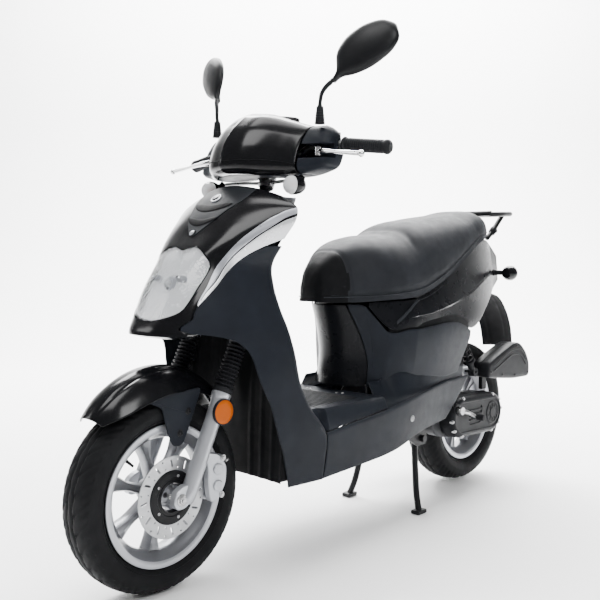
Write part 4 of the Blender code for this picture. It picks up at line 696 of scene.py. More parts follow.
def crown_details():
    """The grey insert on the crown, dark raised strips painted as the shade inside its air slots, and two
    blank round badges.
    """
    edge = curve((0.829, 0.05), (0.845, 0.13), (0.870, 0.23), (0.890, 0.29), (0.925, 0.44), (0.9545, 0.56))
    rows = [[on_front(z, edge(z) * u, 0.0011) for u in steps(-1, 1, 31)] for z in steps(0.829, 0.9535, 40)]
    panel("crown_insert", rows, "grey_insert", "frame", wall=0.0016, rim=0.0005)
    # The air slots are raised dark strips, not cut openings: their dark colour is painted shade.
    slots = Shape()
    for z, half, tall in ((0.8955, 0.31, 0.0170), (0.8600, 0.24, 0.0160)):
        rings = []
        for u in steps(-1, 1, 31):
            rise = 0.012 * abs(u) ** 1.6
            thick = tall * math.sqrt(max(0.02, 1 - abs(u) ** 3))
            ring = []
            for a in round_turns(12):
                ring.append(on_front(z + rise + thick / 2 * math.sin(a), half * u,
                                     0.0016 + 0.0012 * math.cos(a)))
            rings.append(ring)
        slots.rings(rings)
    piece("crown_slot_painted_shade", slots, "dark", "frame")
    for name, z, radius in (("crown_badge", 0.922, 0.0135), ("nose_badge", 0.8345, 0.0090)):
        normal = front_normal(z, 0.0)
        centre = front_point(z, 0.0)
        plinth = Shape()
        plinth.turned([(-0.002, radius * 1.15), (0.0028, radius * 1.12), (0.0040, radius * 1.02),
                       (0.0040, radius * 0.90), (0.0030, radius * 0.88)], centre, normal, 40)
        piece(f"{name}_rim", plinth, "silver_grey" if radius > 0.010 else "gloss", "frame")
        disc = Shape()
        disc.turned([(0.0020, radius * 0.86), (0.0040, radius * 0.80), (0.0050, radius * 0.50),
                     (0.0053, radius * 0.10)], centre, normal, 40)
        piece(name, disc, "gloss" if radius > 0.010 else "silver", "frame")


def stripes():
    """The two silver bands on each side of the front, with a thin dark line between them."""
    low, middle, top = [smooth_path([(z, u, 0) for z, u in line], 48) for line in STRIPE_LINES]
    bands = (("stripe_low", low, middle, (0.06, 0.90), "silver_bright"),
             ("stripe_high", middle, top, (0.08, 1.00), "silver_grey"))
    for side, word in SIDES:
        for name, low, high, trim, look in bands:
            rows = []
            for v in steps(0, 1, 7):
                share = mix(trim[0], trim[1], v)
                row = []
                for a, b in zip(low, high):
                    spot = a.lerp(b, share)
                    row.append(on_front(spot.x, min(spot.y, 0.998), 0.0013))
                rows.append(row)
            panel(f"{name}_{word}", rows, look, "frame", wall=0.0012, side=side, rim=0.0004)


def headlight():
    """The clear lens, the bezel around it, the reflector behind it and the bulb."""
    rings = [lamp_ring(s, 0.0008 - 0.0010 * (1 - s))
             for s in (0.03, 0.15, 0.30, 0.45, 0.60, 0.72, 0.84, 0.93, 0.985)]
    back = [lamp_ring(s, 0.0036) for s in (0.985, 0.93, 0.60, 0.30, 0.03)]
    piece("headlight_glass", Shape().rings(rings + back), "glass", "frame", "headlight_lens")
    bezel = Shape()
    bezel.rings([lamp_ring(0.998, 0.0022), lamp_ring(0.990, 0.0010), lamp_ring(0.975, 0.0045),
                 lamp_ring(0.960, 0.0120), lamp_ring(0.990, 0.0140), lamp_ring(1.000, 0.0080)], loop=True)
    piece("headlight_bezel", bezel, "grey_insert", "frame")
    bowl = Shape()
    depths = ((0.965, 0.009), (0.90, 0.015), (0.78, 0.021), (0.62, 0.026), (0.46, 0.029), (0.32, 0.031),
              (0.20, 0.033))
    inner = [lamp_ring(scale, depth) for scale, depth in depths]
    shell = [lamp_ring(scale, depth + 0.004) for scale, depth in reversed(depths)]
    bowl.rings(inner + shell, loop=True)
    # The reflector's near-white finish is a painted reflection.
    piece("headlight_reflector", bowl, "reflector_painted_shine", "frame", sharp=12.0)
    centre = front_at(0.0, 0.715) + Y_AXIS * 0.030
    piece("headlight_bulb", Shape().turned([(0.000, 0.0070), (-0.006, 0.0075), (-0.012, 0.0070),
                                            (-0.016, 0.0045), (-0.018, 0.0015)], centre, Y_AXIS, 28),
          "bulb", "frame")
    cap = Shape()
    cap.turned([(0.012, 0.018), (0.004, 0.018), (0.000, 0.015), (-0.004, 0.009)], centre, Y_AXIS, 28)
    for side in (-1, 1):
        cap.turned([(0.010, 0.0075), (-0.008, 0.0075), (-0.012, 0.0050)],
                   centre + Vector((side * 0.047, -0.006, 0.012)), Y_AXIS, 20)
    piece("headlight_socket", cap, "silver", "frame")


def leg_shields():
    """The matte sides of the shield with their edges turned back."""
    returns = ((0.0, 0.0), (-0.0012, 0.0040), (-0.0035, 0.0095), (-0.0080, 0.0140), (-0.0160, 0.0160))
    for side, word in SIDES:
        rows = []
        for z in steps(SHIELD_LOW_Z, SHIELD_TOP_Z, 90):
            row = [front_point(z, mix(WING_FRONT(z), 1.0, t)) for t in steps(0, 1, 30)]
            share = min(1.0, max(0.06, (z - 0.320) / 0.020))
            row += [row[-1] + Vector((x * share, y * share, 0)) for x, y in returns[1:]]
            rows.append(row)
        panel(f"leg_shield_skin_{word}", rows, "matte", "frame", f"leg_shield_{word}", side=side,
              rim=0.0009)


KNEE_HUMP = curve((0.420, 0.030), (0.560, 0.040), (0.640, 0.046), (0.700, 0.064), (0.800, 0.105),
                  (0.860, 0.140), (0.935, 0.172))


def knee_point(z, across):
    """The inner shield that faces the rider."""
    x = FRONT_HALF_WIDTH(z) * across - 0.019 * across
    narrow = math.exp(-((x / mix(0.115, 0.068, (z - 0.425) / 0.513)) ** 4))
    return Vector((x, FRONT_EDGE_Y(z) + 0.019 + KNEE_HUMP(z) * narrow, crowned(z, across)))


def knee_shield():
    """The inner shield with a hook, a lock and a small lidded box."""
    rows = [[knee_point(z, u) for u in steps(0.965, -0.965, 61)] for z in steps(0.425, 0.938, 60)]
    panel("knee_shield", rows, "matte", "frame", "knee_panel", rim=0.0009)
    lid = []
    for z in steps(0.640, 0.790, 16):
        lid.append([knee_point(z, u) + Y_AXIS * 0.0016 for u in steps(0.36, -0.36, 25)])
    panel("glove_box_lid", lid, "matte", "frame", wall=0.0020, rim=0.0006)
    fittings = Shape()
    spot = knee_point(0.845, -0.42)
    fittings.turned([(-0.004, 0.0190), (0.005, 0.0185), (0.008, 0.0160), (0.008, 0.0115), (0.005, 0.0110),
                     (0.005, 0.0030)], spot, Y_AXIS, 36)
    latch = knee_point(0.772, 0.0)
    fittings.turned([(-0.001, 0.0090), (0.0050, 0.0085), (0.0065, 0.0070), (0.0050, 0.0040)], latch,
                    Y_AXIS, 28)
    piece("lock_bezels", fittings, "steel", "frame")
    hook = Shape()
    foot = knee_point(0.610, 0.0)
    hook.box(foot + Vector((-0.010, -0.002, -0.018)), foot + Vector((0.010, 0.004, 0.018)), 0.003)
    hook.tube(smooth_path([foot + Vector((0, 0.002, 0.006)), foot + Vector((0, 0.022, 0.002)),
                           foot + Vector((0, 0.036, 0.008)), foot + Vector((0, 0.038, 0.022))], 14),
              0.0045)
    piece("bag_hook", hook, "paint", "frame")


def arch_liner():
    """The panel behind the front wheel."""
    back = curve((0.225, -0.438), (0.350, -0.440), (0.450, -0.434), (0.560, -0.421), (0.576, -0.420))
    ridge = curve((0.225, 0.000), (0.400, 0.004), (0.500, 0.020), (0.576, 0.026))
    rows = []
    for z in steps(0.228, 0.576, 40):
        half = FRONT_HALF_WIDTH(z) * WING_FRONT(min(z, 0.50)) - 0.010
        row = []
        for u in steps(-1, 1, 61):
            x = half * u
            rib = 0.0018 * (math.sin(u * 26) > 0.55) * (abs(u) > 0.3)
            row.append(Vector((x, back(z) - 0.010 * u * u - ridge(z) * math.exp(-((x / 0.034) ** 4))
                               - rib, z)))
        rows.append(row)
    panel("arch_liner", rows, "dark", "frame", "wheel_arch_liner")
    for side, word in SIDES:
        rows = []
        for z in steps(0.232, 0.500, 30):
            half = FRONT_HALF_WIDTH(z) * WING_FRONT(z) - 0.0115
            edge = front_point(z, min(1.0, WING_FRONT(z) + 0.05)) + Vector((-0.0075, 0.0045, 0))
            near = Vector((half, back(z) - 0.0100, z))
            rows.append([near.lerp(edge, t) for t in steps(0, 1, 5)])
        panel(f"arch_web_{word}", rows, "dark", "frame", wall=0.0015, side=side, rim=0.0)


# Floor, skirts and seat box
def floor():
    """The footboard with rows of raised ribs, and two fixing screws."""
    rows = []
    for y in steps(-0.345, -0.046, 50):
        edge_z = SKIRT_TOP_Z(y) + 0.006
        half = mix(0.176, 0.193, clamp((y + 0.307) / 0.010))
        row = [Vector((-half, y, edge_z)), Vector((-half + 0.004, y, mix(edge_z, FLOOR_Z, 0.30))),
               Vector((-half + 0.011, y, mix(edge_z, FLOOR_Z, 0.80))),
               Vector((-half + 0.018, y, FLOOR_Z - 0.001))]
        row += [Vector((x, y, FLOOR_Z)) for x in steps(0.026 - half, half - 0.026, 24)]
        row += [flipped(p, -1) for p in reversed(row[:4])]
        rows.append(row)
    panel("floor_skin", rows, "matte", "frame", "floorboard", wall=0.004)
    ribs = Shape()
    for y in steps(-0.300, -0.120, 13):
        half = 0.155
        rings = []
        for x in steps(-half, half, 15):
            end = 1.0 if abs(x) < half * 0.97 else 0.2
            ring = []
            for a in steps(0, math.pi, 7):
                ring.append(Vector((x, y + 0.0036 * end * math.cos(a),
                                    FLOOR_Z - 0.0006 + 0.0026 * end * math.sin(a))))
            rings.append(ring)
        ribs.rings(rings)
    piece("floor_ribs", ribs, "dark", "frame")
    screws = Shape()
    for x, y in ((0.050, -0.096), (0.066, -0.089), (-0.050, -0.096), (-0.066, -0.089)):
        screws.bolt((x, y, FLOOR_Z), Z_AXIS, 0.0034)
    piece("floor_screws", screws, "steel", "frame")


def skirt_column(t, count):
    """One line up the skirt, from its lower edge to the top, and then in over the floor."""
    column = []
    for v in steps(0, 1, count):
        y = mix(-0.307, mix(0.318, 0.447, v), t)
        low, top = SKIRT_LOW_Z(min(y, 0.318)), SKIRT_TOP_Z(min(y, 0.318))
        column.append(Vector((SKIRT_HALF_WIDTH(y) - 0.014 * (1 - v) ** 2, y, mix(low, top, v))))
    last = column[-1]
    shifts = ((-0.0012, 0.0022), (-0.0040, 0.0035), (-0.0050, 0.0035), (-0.0058, 0.0035), (-0.0065, 0.0035))
    return column + [last + Vector((x, 0, z)) for x, z in shifts]


def liners():
    """Dark inner walls behind the seams, and the shelf between the side cover's foot and the skirt."""
    for side, word in SIDES:
        rows = []
        for y in steps(-0.040, 0.425, 80):
            inner = body_point(max(y, 0.030), 0.440).x - 0.007
            inner = mix(0.118, inner, clamp((y + 0.040) / 0.080))
            foot = Vector((SKIRT_HALF_WIDTH(y) - 0.0085, y, SKIRT_TOP_Z(y) - 0.0020))
            head = Vector((inner, y, max(COVER_LOW_Z(y), 0.412) + 0.016))
            rows.append([Vector((mix(foot.x, head.x, t), y, mix(foot.z, head.z, t ** 2.2)))
                         for t in steps(0, 1, 12)])
        panel(f"cover_foot_{word}", crossed(rows), "matte", "frame", wall=0.002, side=side, rim=0.0)
        rows = []
        for y in steps(0.034, 0.425, 50):
            rows.append([body_point(y, TAIL_LOW_Z(y) + z) - X_AXIS * 0.0065
                         for z in steps(-0.022, 0.022, 5)])
        panel(f"cover_seam_wall_{word}", crossed(rows), "dark", "frame", wall=0.0015, side=side, rim=0.0)
        rows = [[Vector((x, y, SKIRT_TOP_Z(y) - 0.0015)) for x in (0.1945, 0.1780)]
                for y in steps(-0.300, -0.040, 30)]
        panel(f"floor_seam_wall_{word}", crossed(rows), "dark", "frame", wall=0.0015, side=side, rim=0.0)
        rows = []
        for v in steps(0.03, 0.97, 24):
            z = mix(SKIRT_LOW_Z(-0.300), SKIRT_TOP_Z(-0.300), v)
            x = SKIRT_HALF_WIDTH(-0.300) - 0.014 * (1 - v) ** 2 - 0.0060
            rows.append([Vector((x, y, z)) for y in (-0.322, -0.298)])
        panel(f"shield_seam_wall_{word}", rows, "dark", "frame", wall=0.0015, side=side, rim=0.0)
        rows = []
        for z in steps(0.416, 0.636, 30):
            rows.append([body_front_point(PANEL_HALF_WIDTH(z) + x, z) + Y_AXIS * 0.0060
                         for x in (-0.012, 0.0, 0.014)])
        panel(f"front_seam_wall_{word}", rows, "dark", "frame", wall=0.0015, side=side, rim=0.0)


def skirts():
    """The lower side covers with their screws."""
    for side, word in SIDES:
        columns = [skirt_column(t, 16) for t in steps(0, 1, 90)]
        panel(f"skirt_skin_{word}", crossed(columns), "matte", "frame", f"skirt_{word}", side=side,
              rim=0.0009)
        screws = Shape()
        y, z = 0.072, 0.319
        share = (z - SKIRT_LOW_Z(y)) / (SKIRT_TOP_Z(y) - SKIRT_LOW_Z(y))
        centre = Vector((side * (SKIRT_HALF_WIDTH(y) - 0.014 * (1 - share) ** 2), y, z))
        screws.turned([(-0.001, 0.0095), (0.0012, 0.0090), (0.0014, 0.0078), (-0.0002, 0.0074)], centre,
                      X_AXIS * side, 28)
        screws.bolt(centre, X_AXIS * side, 0.0042)
        piece(f"skirt_screws_{word}", screws, "steel", "frame")


def seat_box():
    """The covers under the seat: the front panel, the side covers and the tail cowls."""
    rows = []
    for z in steps(0.412, 0.645, 40):
        half = PANEL_HALF_WIDTH(z)
        row = []
        for u in steps(-1, 1, 41):
            p = body_front_point(half * u, z)
            foot = math.exp(-(((z - 0.412) / 0.020) ** 2)) * 0.006 * (1 - u * u)
            row.append(p + Vector((0, foot, 0)))
        rows.append(row)
    panel("seat_front_skin", rows, "tail_gloss", "frame", "seat_front_panel")
    for side, word in SIDES:
        columns = []
        for t in steps(0, 1, 16):
            column = []
            for v in steps(0, 1, 36):
                z = mix(0.412, COVER_TOP_Z(-0.030), v)
                x = mix(PANEL_HALF_WIDTH(z) + 0.0025, BODY_CORNER_X, t)
                column.append(body_front_point(x, mix(0.412, COVER_TOP_Z(body_front_point(x, z).y), v)))
            columns.append(column)
        for y in steps(0.024, 0.428, 60):
            low = mix(0.424, 0.540, (y - 0.375) / 0.060) if y > 0.375 else COVER_LOW_Z(y)
            columns.append([body_point(y, z) for z in steps(low, COVER_TOP_Z(y), 36)])
        panel(f"side_cover_skin_{word}", crossed(columns), "matte", "frame", f"side_cover_{word}",
              side=side, rim=0.0009)
        columns = [[tail_point(y, v) for v in steps(0, 1, 41)] for y in steps(-0.020, 0.818, 120)]
        panel(f"tail_cowl_skin_{word}", crossed(columns), "tail_gloss", "frame", f"tail_cowl_{word}",
              side=side, rim=0.0009, sharp=17.0)
        tail_trim(side, word)


FIN_TOP_Z = curve((0.050, 0.590), (0.117, 0.640), (0.263, 0.710), (0.400, 0.762), (0.577, 0.818),
                  (0.700, 0.812), (0.817, 0.776))
FIN_LOW_Z = curve((0.050, 0.586), (0.077, 0.598), (0.200, 0.616), (0.377, 0.647), (0.477, 0.671),
                  (0.650, 0.716), (0.817, 0.745))


def tail_point(y, v):
    """A point of the tail cowl, which leans outward up to its crease and hollows above and below it."""
    low, top = TAIL_LOW_Z(y), TAIL_TOP_Z(y)
    crease = min(max(FIN_LOW_Z(y), low + 0.004), top - 0.004)
    grow = clamp((y - 0.050) / 0.120) * min(1.0, (0.830 - y) / 0.080)
    if v < 0.5:
        z = mix(low, crease, v * 2)
        fold = -0.0100 * (1 - v * 2) ** 0.9
    else:
        z = mix(crease, top, v * 2 - 1)
        fold = -0.0036 - 0.0120 * (v * 2 - 1)
    return body_point(y, z) + Vector((fold * grow, 0, 0))


def tail_trim(side, word):
    """The thin moulding along the crease of the tail cowl."""
    rows = []
    for lift in (0.0, 1.0):
        row = []
        for y in steps(0.052, 0.275, 40):
            share = (y - 0.052) / 0.223
            z = FIN_TOP_Z(y) + mix(-0.004, 0.006, lift) * (1 - 0.5 * share)
            z = min(z, TAIL_TOP_Z(y) - 0.002)
            row.append(body_point(y, z) + X_AXIS * 0.0014)
        rows.append(row)
    panel(f"seat_edge_trim_{word}", rows, "grey_insert", "frame", wall=0.0022, side=side, rim=0.0004)


# Seat
SEAM_Z = curve((-0.164, 0.668), (-0.060, 0.670), (0.050, 0.676), (0.170, 0.690), (0.300, 0.735),
               (0.430, 0.796), (0.552, 0.848), (0.664, 0.872))


def seat_section(y, turn, shrink=0.0):
    """A point of the seat's skin: turn runs from the left edge, 0, over the top to the right edge, pi."""
    half, low, top = SEAT_HALF_WIDTH(y) - shrink, SEAT_LOW_Z(y), SEAT_TOP_Z(y) - shrink
    x = half * signed_power(math.cos(turn), 0.62)
    return Vector((x, y, low + (top - low) * abs(math.sin(turn)) ** 0.75))


def front_seam_y(z):
    """Where the dark front section of the seat ends at a height."""
    return -0.086 + 0.10 * max(0.0, z - 0.80)


def seat_dent(point):
    """How far the cover is pulled in along its seams and the step of the seat."""
    front = point.y - front_seam_y(point.z)
    dent = 0.0032 * math.exp(-((front / 0.0045) ** 2))
    step = point.y - (0.170 + 0.16 * (point.z - 0.85))
    dent += 0.0030 * math.exp(-((step / 0.012) ** 2)) * clamp((point.z - 0.79) / 0.03)
    welt = point.z - SEAM_Z(point.y)
    dent += 0.0020 * math.exp(-((welt / 0.0040) ** 2))
    return dent


def seat():
    """The padded seat: swollen from its plain form, then pulled in along its seams, with a dark front."""
    stations = [-0.1625, -0.161, -0.158, -0.154, -0.149] + steps(-0.143, 0.645, 148)
    stations += [0.650, 0.655, 0.659, 0.662]
    turns = steps(0, math.pi, 71)
    rings = []
    for y in stations:
        crown = [seat_section(y, turn, 0.0020) for turn in turns]
        sole = [crown[-1].lerp(crown[0], t) for t in steps(0, 1, 16)[1:-1]]
        rings.append(crown + sole)
    pad = piece("seat_pad", Shape().rings(rings), "vinyl", None, sharp=60.0)
    swell(pad, 0.006)
    mesh = pad.data
    normals = [v.normal.copy() for v in mesh.vertices]
    for vert, normal in zip(mesh.vertices, normals):
        vert.co -= normal * seat_dent(vert.co)
    mesh.materials.append(LOOKS["vinyl_dark"])
    for face in mesh.polygons:
        if face.center.y < front_seam_y(face.center.z):
            face.material_index = 1
    mesh.shade_smooth()
    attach(pad, "seat")
    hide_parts("seat")


def swell(pad, cap):
    """Let air pressure round the pad for a moment, and keep no point further than a cap from its place."""
    scene = bpy.context.scene
    start = [v.co.copy() for v in pad.data.vertices]
    cloth = pad.modifiers.new("swell", "CLOTH")
    cloth.settings.use_pressure = True
    cloth.settings.uniform_pressure_force = 3.0
    cloth.settings.effector_weights.gravity = 0.0
    cloth.settings.quality = 4
    cloth.settings.tension_stiffness = 30.0
    cloth.settings.compression_stiffness = 30.0
    for step in range(1, 13):
        scene.frame_set(step)
    evaluated = pad.evaluated_get(bpy.context.evaluated_depsgraph_get())
    end = [v.co.copy() for v in evaluated.data.vertices]
    pad.modifiers.clear()
    scene.frame_set(1)
    for vert, a, b in zip(pad.data.vertices, start, end):
        move = b - a
        if move.length > cap:
            move = move.normalized() * cap
        share = clamp((a.z - SEAT_LOW_Z(a.y)) / 0.03)
        vert.co = a + move * share * 0.5


def seam_turn(y):
    """The turn at which the seat's skin crosses its welt."""
    low, top = SEAT_LOW_Z(y), SEAT_TOP_Z(y)
    share = min(0.98, max(0.02, (SEAM_Z(y) - low) / (top - low)))
    return math.asin(share ** (1 / 0.75))


def seat_trim():
    """The welt round the foot of the cover, the stitches along it and the pan under it."""
    side = [seat_section(y, seam_turn(y), 0.0015) for y in steps(-0.150, 0.655, 90)]
    welt = Shape()
    for flip in (1, -1):
        welt.tube([flipped(p, flip) for p in side], 0.0016, 8)
    piece("seat_welt", welt, "thread", "seat")
    stitches = Shape()
    for flip in (1, -1):
        for i in range(2, len(side) - 3):
            for t in (0.15, 0.65):
                a, b = side[i].lerp(side[i + 1], t), side[i].lerp(side[i + 1], t + 0.30)
                lift = Vector((0.0004, 0, 0.0050))
                stitches.tube([flipped(a + lift, flip), flipped(b + lift, flip)], 0.00055, 5)
    piece("seat_stitches", stitches, "thread", "seat")
    pan = Shape()
    rings = []
    for y in steps(-0.158, 0.655, 50):
        half, low = SEAT_HALF_WIDTH(y) - 0.004, SEAT_LOW_Z(y) - 0.0008
        ring = [Vector((half * u, y, low)) for u in steps(-1, 1, 17)]
        ring += [Vector((half * u, y, low + 0.004)) for u in steps(0.98, -0.98, 17)]
        rings.append(ring)
    pan.rings(rings)
    piece("seat_pan", pan, "dark", "seat")


# Tail
def rear_mudguard():
    """The rear mudguard with two ribs along it."""

    def rib(u, t):
        return 0.0014 * math.exp(-((abs(u) - 0.55) / 0.06) ** 2) * min(1.0, (1 - t) * 12)

    path = smooth_path([(0, 0.430, 0.612), (0, 0.560, 0.636), (0, 0.700, 0.664), (0, 0.800, 0.650),
                        (0, 0.866, 0.596), (0, 0.908, 0.530), (0, 0.9292, 0.450)], 60)
    rows = []
    for i, spot in enumerate(path):
        t = i / (len(path) - 1)
        half = mix(0.078, 0.062, t)
        head = (path[min(i + 1, 59)] - path[max(i - 1, 0)]).normalized()
        up = Vector((0, -head.z, head.y))
        rows.append([Vector((half * u, 0, 0)) + spot - up * (0.012 * u * u + rib(u, t))
                     for u in steps(-1, 1, 33)])
    panel("mudguard_skin", rows, "dark", "frame", "rear_mudguard", wall=0.004)


def tail_lamp():
    """The red tail lamp in its dark housing."""

    def ring(y, half, low, high):
        middle, tall = (low + high) / 2, (high - low) / 2
        return [Vector((half * signed_power(math.cos(a), 0.8), y,
                        middle + tall * signed_power(math.sin(a), 0.8))) for a in round_turns(48)]

    lens = Shape()
    lens.rings([ring(0.800, 0.0385, 0.714, 0.781), ring(0.812, 0.0390, 0.713, 0.781),
                ring(0.826, 0.0375, 0.715, 0.778), ring(0.834, 0.0340, 0.718, 0.773),
                ring(0.838, 0.0260, 0.726, 0.766), ring(0.8392, 0.0100, 0.738, 0.754)])
    piece("tail_lens", lens, "red", "frame", "tail_light")
    base = Shape()
    base.rings([ring(0.774, 0.0360, 0.722, 0.776), ring(0.796, 0.0395, 0.714, 0.781),
                ring(0.806, 0.0400, 0.712, 0.782), ring(0.806, 0.0390, 0.714, 0.781)])
    piece("tail_lamp_base", base, "dark", "frame")


def rear_signals():
    """The round rear signals on their stalks."""
    for side, word in SIDES:
        centre = Vector((side * 0.140, 0.740, 0.727))
        signal_lamp(f"rear_signal_{word}", centre, Y_AXIS, 0.026, "frame")
        stalk = Shape()
        root = side * (body_point(0.742, 0.727).x + 0.0010)
        stalk.tube(smooth_path([(root, 0.737, 0.728), (side * 0.110, 0.737, 0.7278),
                                (side * 0.124, 0.737, 0.727)], 10),
                   [0.0120, 0.0105, 0.0095, 0.0090, 0.0088, 0.0086, 0.0085, 0.0085, 0.0085, 0.0085], 20)
        piece(f"rear_signal_stalk_{word}", stalk, "grip", "frame")


def signal_lamp(name, centre, head, radius, body):
    """A round signal lamp that looks along a direction: housing, fluted lens, reflector and amber bulb."""
    head = Vector(head).normalized()
    housing = Shape()
    housing.turned([(-0.030, radius * 0.30), (-0.027, radius * 0.66), (-0.018, radius * 0.88),
                    (-0.006, radius * 0.985), (0.003, radius), (0.005, radius * 0.985),
                    (0.005, radius * 0.93), (-0.004, radius * 0.90)], centre, head, 40)
    piece(f"{name}_housing", housing, "gloss", body, name)
    lens = Shape()
    rings = []
    for along, share in ((0.001, 0.900), (0.007, 0.915), (0.014, 0.850), (0.020, 0.660), (0.0235, 0.380),
                         (0.0245, 0.080)):
        ring = circle(centre + head * along, head, radius * share, 56)
        if 0.3 < share < 0.9:
            middle = centre + head * along
            ring = [middle + (p - middle) * (1 + 0.018 * (i % 2)) for i, p in enumerate(ring)]
        rings.append(ring)
    lens.rings(rings)
    # The milky lens is painted brightness in place of the light a clear lens would gather.
    piece(f"{name}_lens", lens, "bulb", body)
    bowl = Shape()
    bowl.turned([(0.0005, radius * 0.86), (-0.004, radius * 0.74), (-0.009, radius * 0.52),
                 (-0.012, radius * 0.25), (-0.014, radius * 0.25), (-0.011, radius * 0.60),
                 (-0.003, radius * 0.88)], centre, head, 40)
    # The reflector's near-white finish is a painted reflection.
    piece(f"{name}_reflector", bowl, "reflector_painted_shine", body)
    piece(f"{name}_bulb", Shape().turned([(-0.010, 0.0036), (0.000, 0.0042), (0.004, 0.0034),
                                          (0.007, 0.0016)], centre, head, 24), "amber", body)


def luggage_rack():
    """The grab rail: a bent loop, its slotted plate with rolled edges, struts and their knuckles."""
    half = smooth_path([(0.084, 0.690, 0.9305), (0.099, 0.712, 0.9315), (0.101, 0.775, 0.9345),
                        (0.082, 0.838, 0.9375), (0.000, 0.853, 0.9380)], 30)
    rack = Shape()
    rack.tube(half + [flipped(p, -1) for p in reversed(half[:-1])], 0.0085, 20)
    rack.tube([(-0.089, 0.6895, 0.9338), (0.089, 0.6895, 0.9338)], 0.0093, 20)
    bars = (-0.0965, -0.0720, -0.0480, -0.0320, -0.0080, 0.0080, 0.0320, 0.0480, 0.0720, 0.0965)
    for low, high in zip(bars[::2], bars[1::2]):
        rack.box((low, 0.6930, 0.9302), (high, 0.8210, 0.9391), 0.0018)
    rack.box((-0.0965, 0.6925, 0.9304), (0.0965, 0.7060, 0.9389), 0.0018)
    rack.box((-0.0965, 0.7900, 0.9304), (0.0965, 0.8215, 0.9389), 0.0018)
    for side in (-1, 1):
        strut = smooth_path([(side * 0.070, 0.806, 0.932), (side * 0.072, 0.766, 0.900),
                             (side * 0.074, 0.730, 0.872), (side * 0.076, 0.690, 0.848)], 20)
        rack.tube(strut, 0.0085, 20)
    piece("rack_frame", rack, "paint", "frame", "luggage_rack", sharp=40.0)
    knuckles = Shape()
    for side in (-1, 1):
        low, high = Vector((side * 0.0745, 0.722, 0.866)), Vector((side * 0.0732, 0.744, 0.883))
        knuckles.tube([low, low.lerp(high, 0.15), low.lerp(high, 0.85), high],
                      [0.0105, 0.0125, 0.0125, 0.0105], 24)
        knuckles.hex_nut(low.lerp(high, 0.5) + X_AXIS * side * 0.0115, (side, 0, 0), 0.0050, 0.0045)
    piece("rack_knuckles", knuckles, "cover", "frame")


# Handlebar
def fine_cowl_ring(x, count, drawn=0.0):
    """The handlebar cowl's outline at a station, as a smooth closed loop of points."""
    ring = cowl_ring(x, drawn)
    total = len(ring)
    result = []
    for i in range(total):
        a, b, c, d = ring[i - 1], ring[i], ring[(i + 1) % total], ring[(i + 2) % total]
        for k in range(count):
            t = k / count
            result.append(0.5 * ((2 * b) + (c - a) * t + (2 * a - 5 * b + 4 * c - d) * t * t
                                 + (3 * b - a - 3 * c + d) * t ** 3) * 0.6 + b.lerp(c, t) * 0.4)
    return result


def handlebar_cowl():
    """The glossy cowl in front of the bar and the matte dash behind it with its instrument."""
    stations = steps(-0.153, 0.153, 61)
    rings = [fine_cowl_ring(x, 6) for x in stations]
    rows = [[ring[i] for ring in rings] for i in range(0, 37)]
    panel("bar_cowl_skin", rows, "gloss", "steering", "handlebar_cowl", rim=0.0009)
    split = Shape()
    for side in (-1, 1):
        line = [fine_cowl_ring(side * x, 6)[12] - Y_AXIS * 0.0004 for x in steps(0.004, 0.152, 24)]
        split.tube(line, 0.0011, 8)
    piece("bar_cowl_seam", split, "dark", "steering")
    rows = []
    for i in range(36, 73):
        share = 0.0040 * max(0.0, 1 - (i - 36) / 6) + 0.0070 * max(0.0, 1 - (72 - i) / 6)
        rows.append([ring[i % 72] + Vector((0, share, 0)) for ring in rings])
    dash = panel("dash_skin", rows, "matte", "steering", "dash_panel", rim=0.0)
    hole = Shape()
    hole.tube([on_steering_axis(0.940), on_steering_axis(1.010)], 0.030, 32)
    carve(dash, hole)
    soften(dash, 0.0008)
    instrument()


def instrument():
    """The instrument: a raised hood, a dial with marks and a needle, and three tell-tales."""
    centre = (cowl_ring(0.0)[7] + cowl_ring(0.0)[8]) / 2
    along = (cowl_ring(0.0)[8] - cowl_ring(0.0)[6]).normalized()
    up = X_AXIS.cross(along)
    if up.z < 0:
        up = -up

    def spot(x, y, lift):
        return centre + X_AXIS * x + along * y + up * lift

    outer = [spot(0.066 * math.cos(a) * (1 + 0.15 * math.cos(a) ** 4), 0.030 * math.sin(a), 0)
             for a in round_turns(64)]

    def grow(scale, lift):
        return [centre + (p - centre) * scale + up * lift for p in outer]

    hood = Shape()
    hood.rings([grow(1.06, -0.004), grow(1.04, 0.0030), grow(1.00, 0.0045), grow(0.95, 0.0035),
                grow(0.93, 0.0005), grow(0.93, -0.004)], loop=True)
    piece("instrument_hood", hood, "gloss", "steering")
    piece("instrument_face", Shape().rings([grow(0.93, 0.0012), grow(0.60, 0.0014), grow(0.05, 0.0014),
                                            grow(0.05, -0.003), grow(0.93, -0.003)]), "screen",
          "steering")
    marks = Shape()
    for i in range(21):
        a = math.radians(mix(215, -35, i / 20))
        radius = 0.0235
        long = 0.0045 if i % 2 == 0 else 0.0025
        inner = spot((radius - long) * math.cos(a), -(radius - long) * math.sin(a), 0.0019)
        marks.tube([inner, spot(radius * math.cos(a), -radius * math.sin(a), 0.0019)], 0.00045, 6)
    marks.tube([spot(0, 0, 0.0024), spot(-0.014, 0.008, 0.0024)], [0.0008, 0.0003], 8)
    marks.turned([(0.0010, 0.0026), (0.0028, 0.0022), (0.0032, 0.0010)], centre, up, 20)
    piece("instrument_marks", marks, "silver_bright", "steering")
    lights = Shape()
    for x in (-0.045, 0.045, 0.052):
        lights.turned([(0.0005, 0.0026), (0.0024, 0.0024), (0.0030, 0.0010)], spot(x, 0.006, 0), up, 16)
    piece("tell_tales", lights, "amber", "steering")


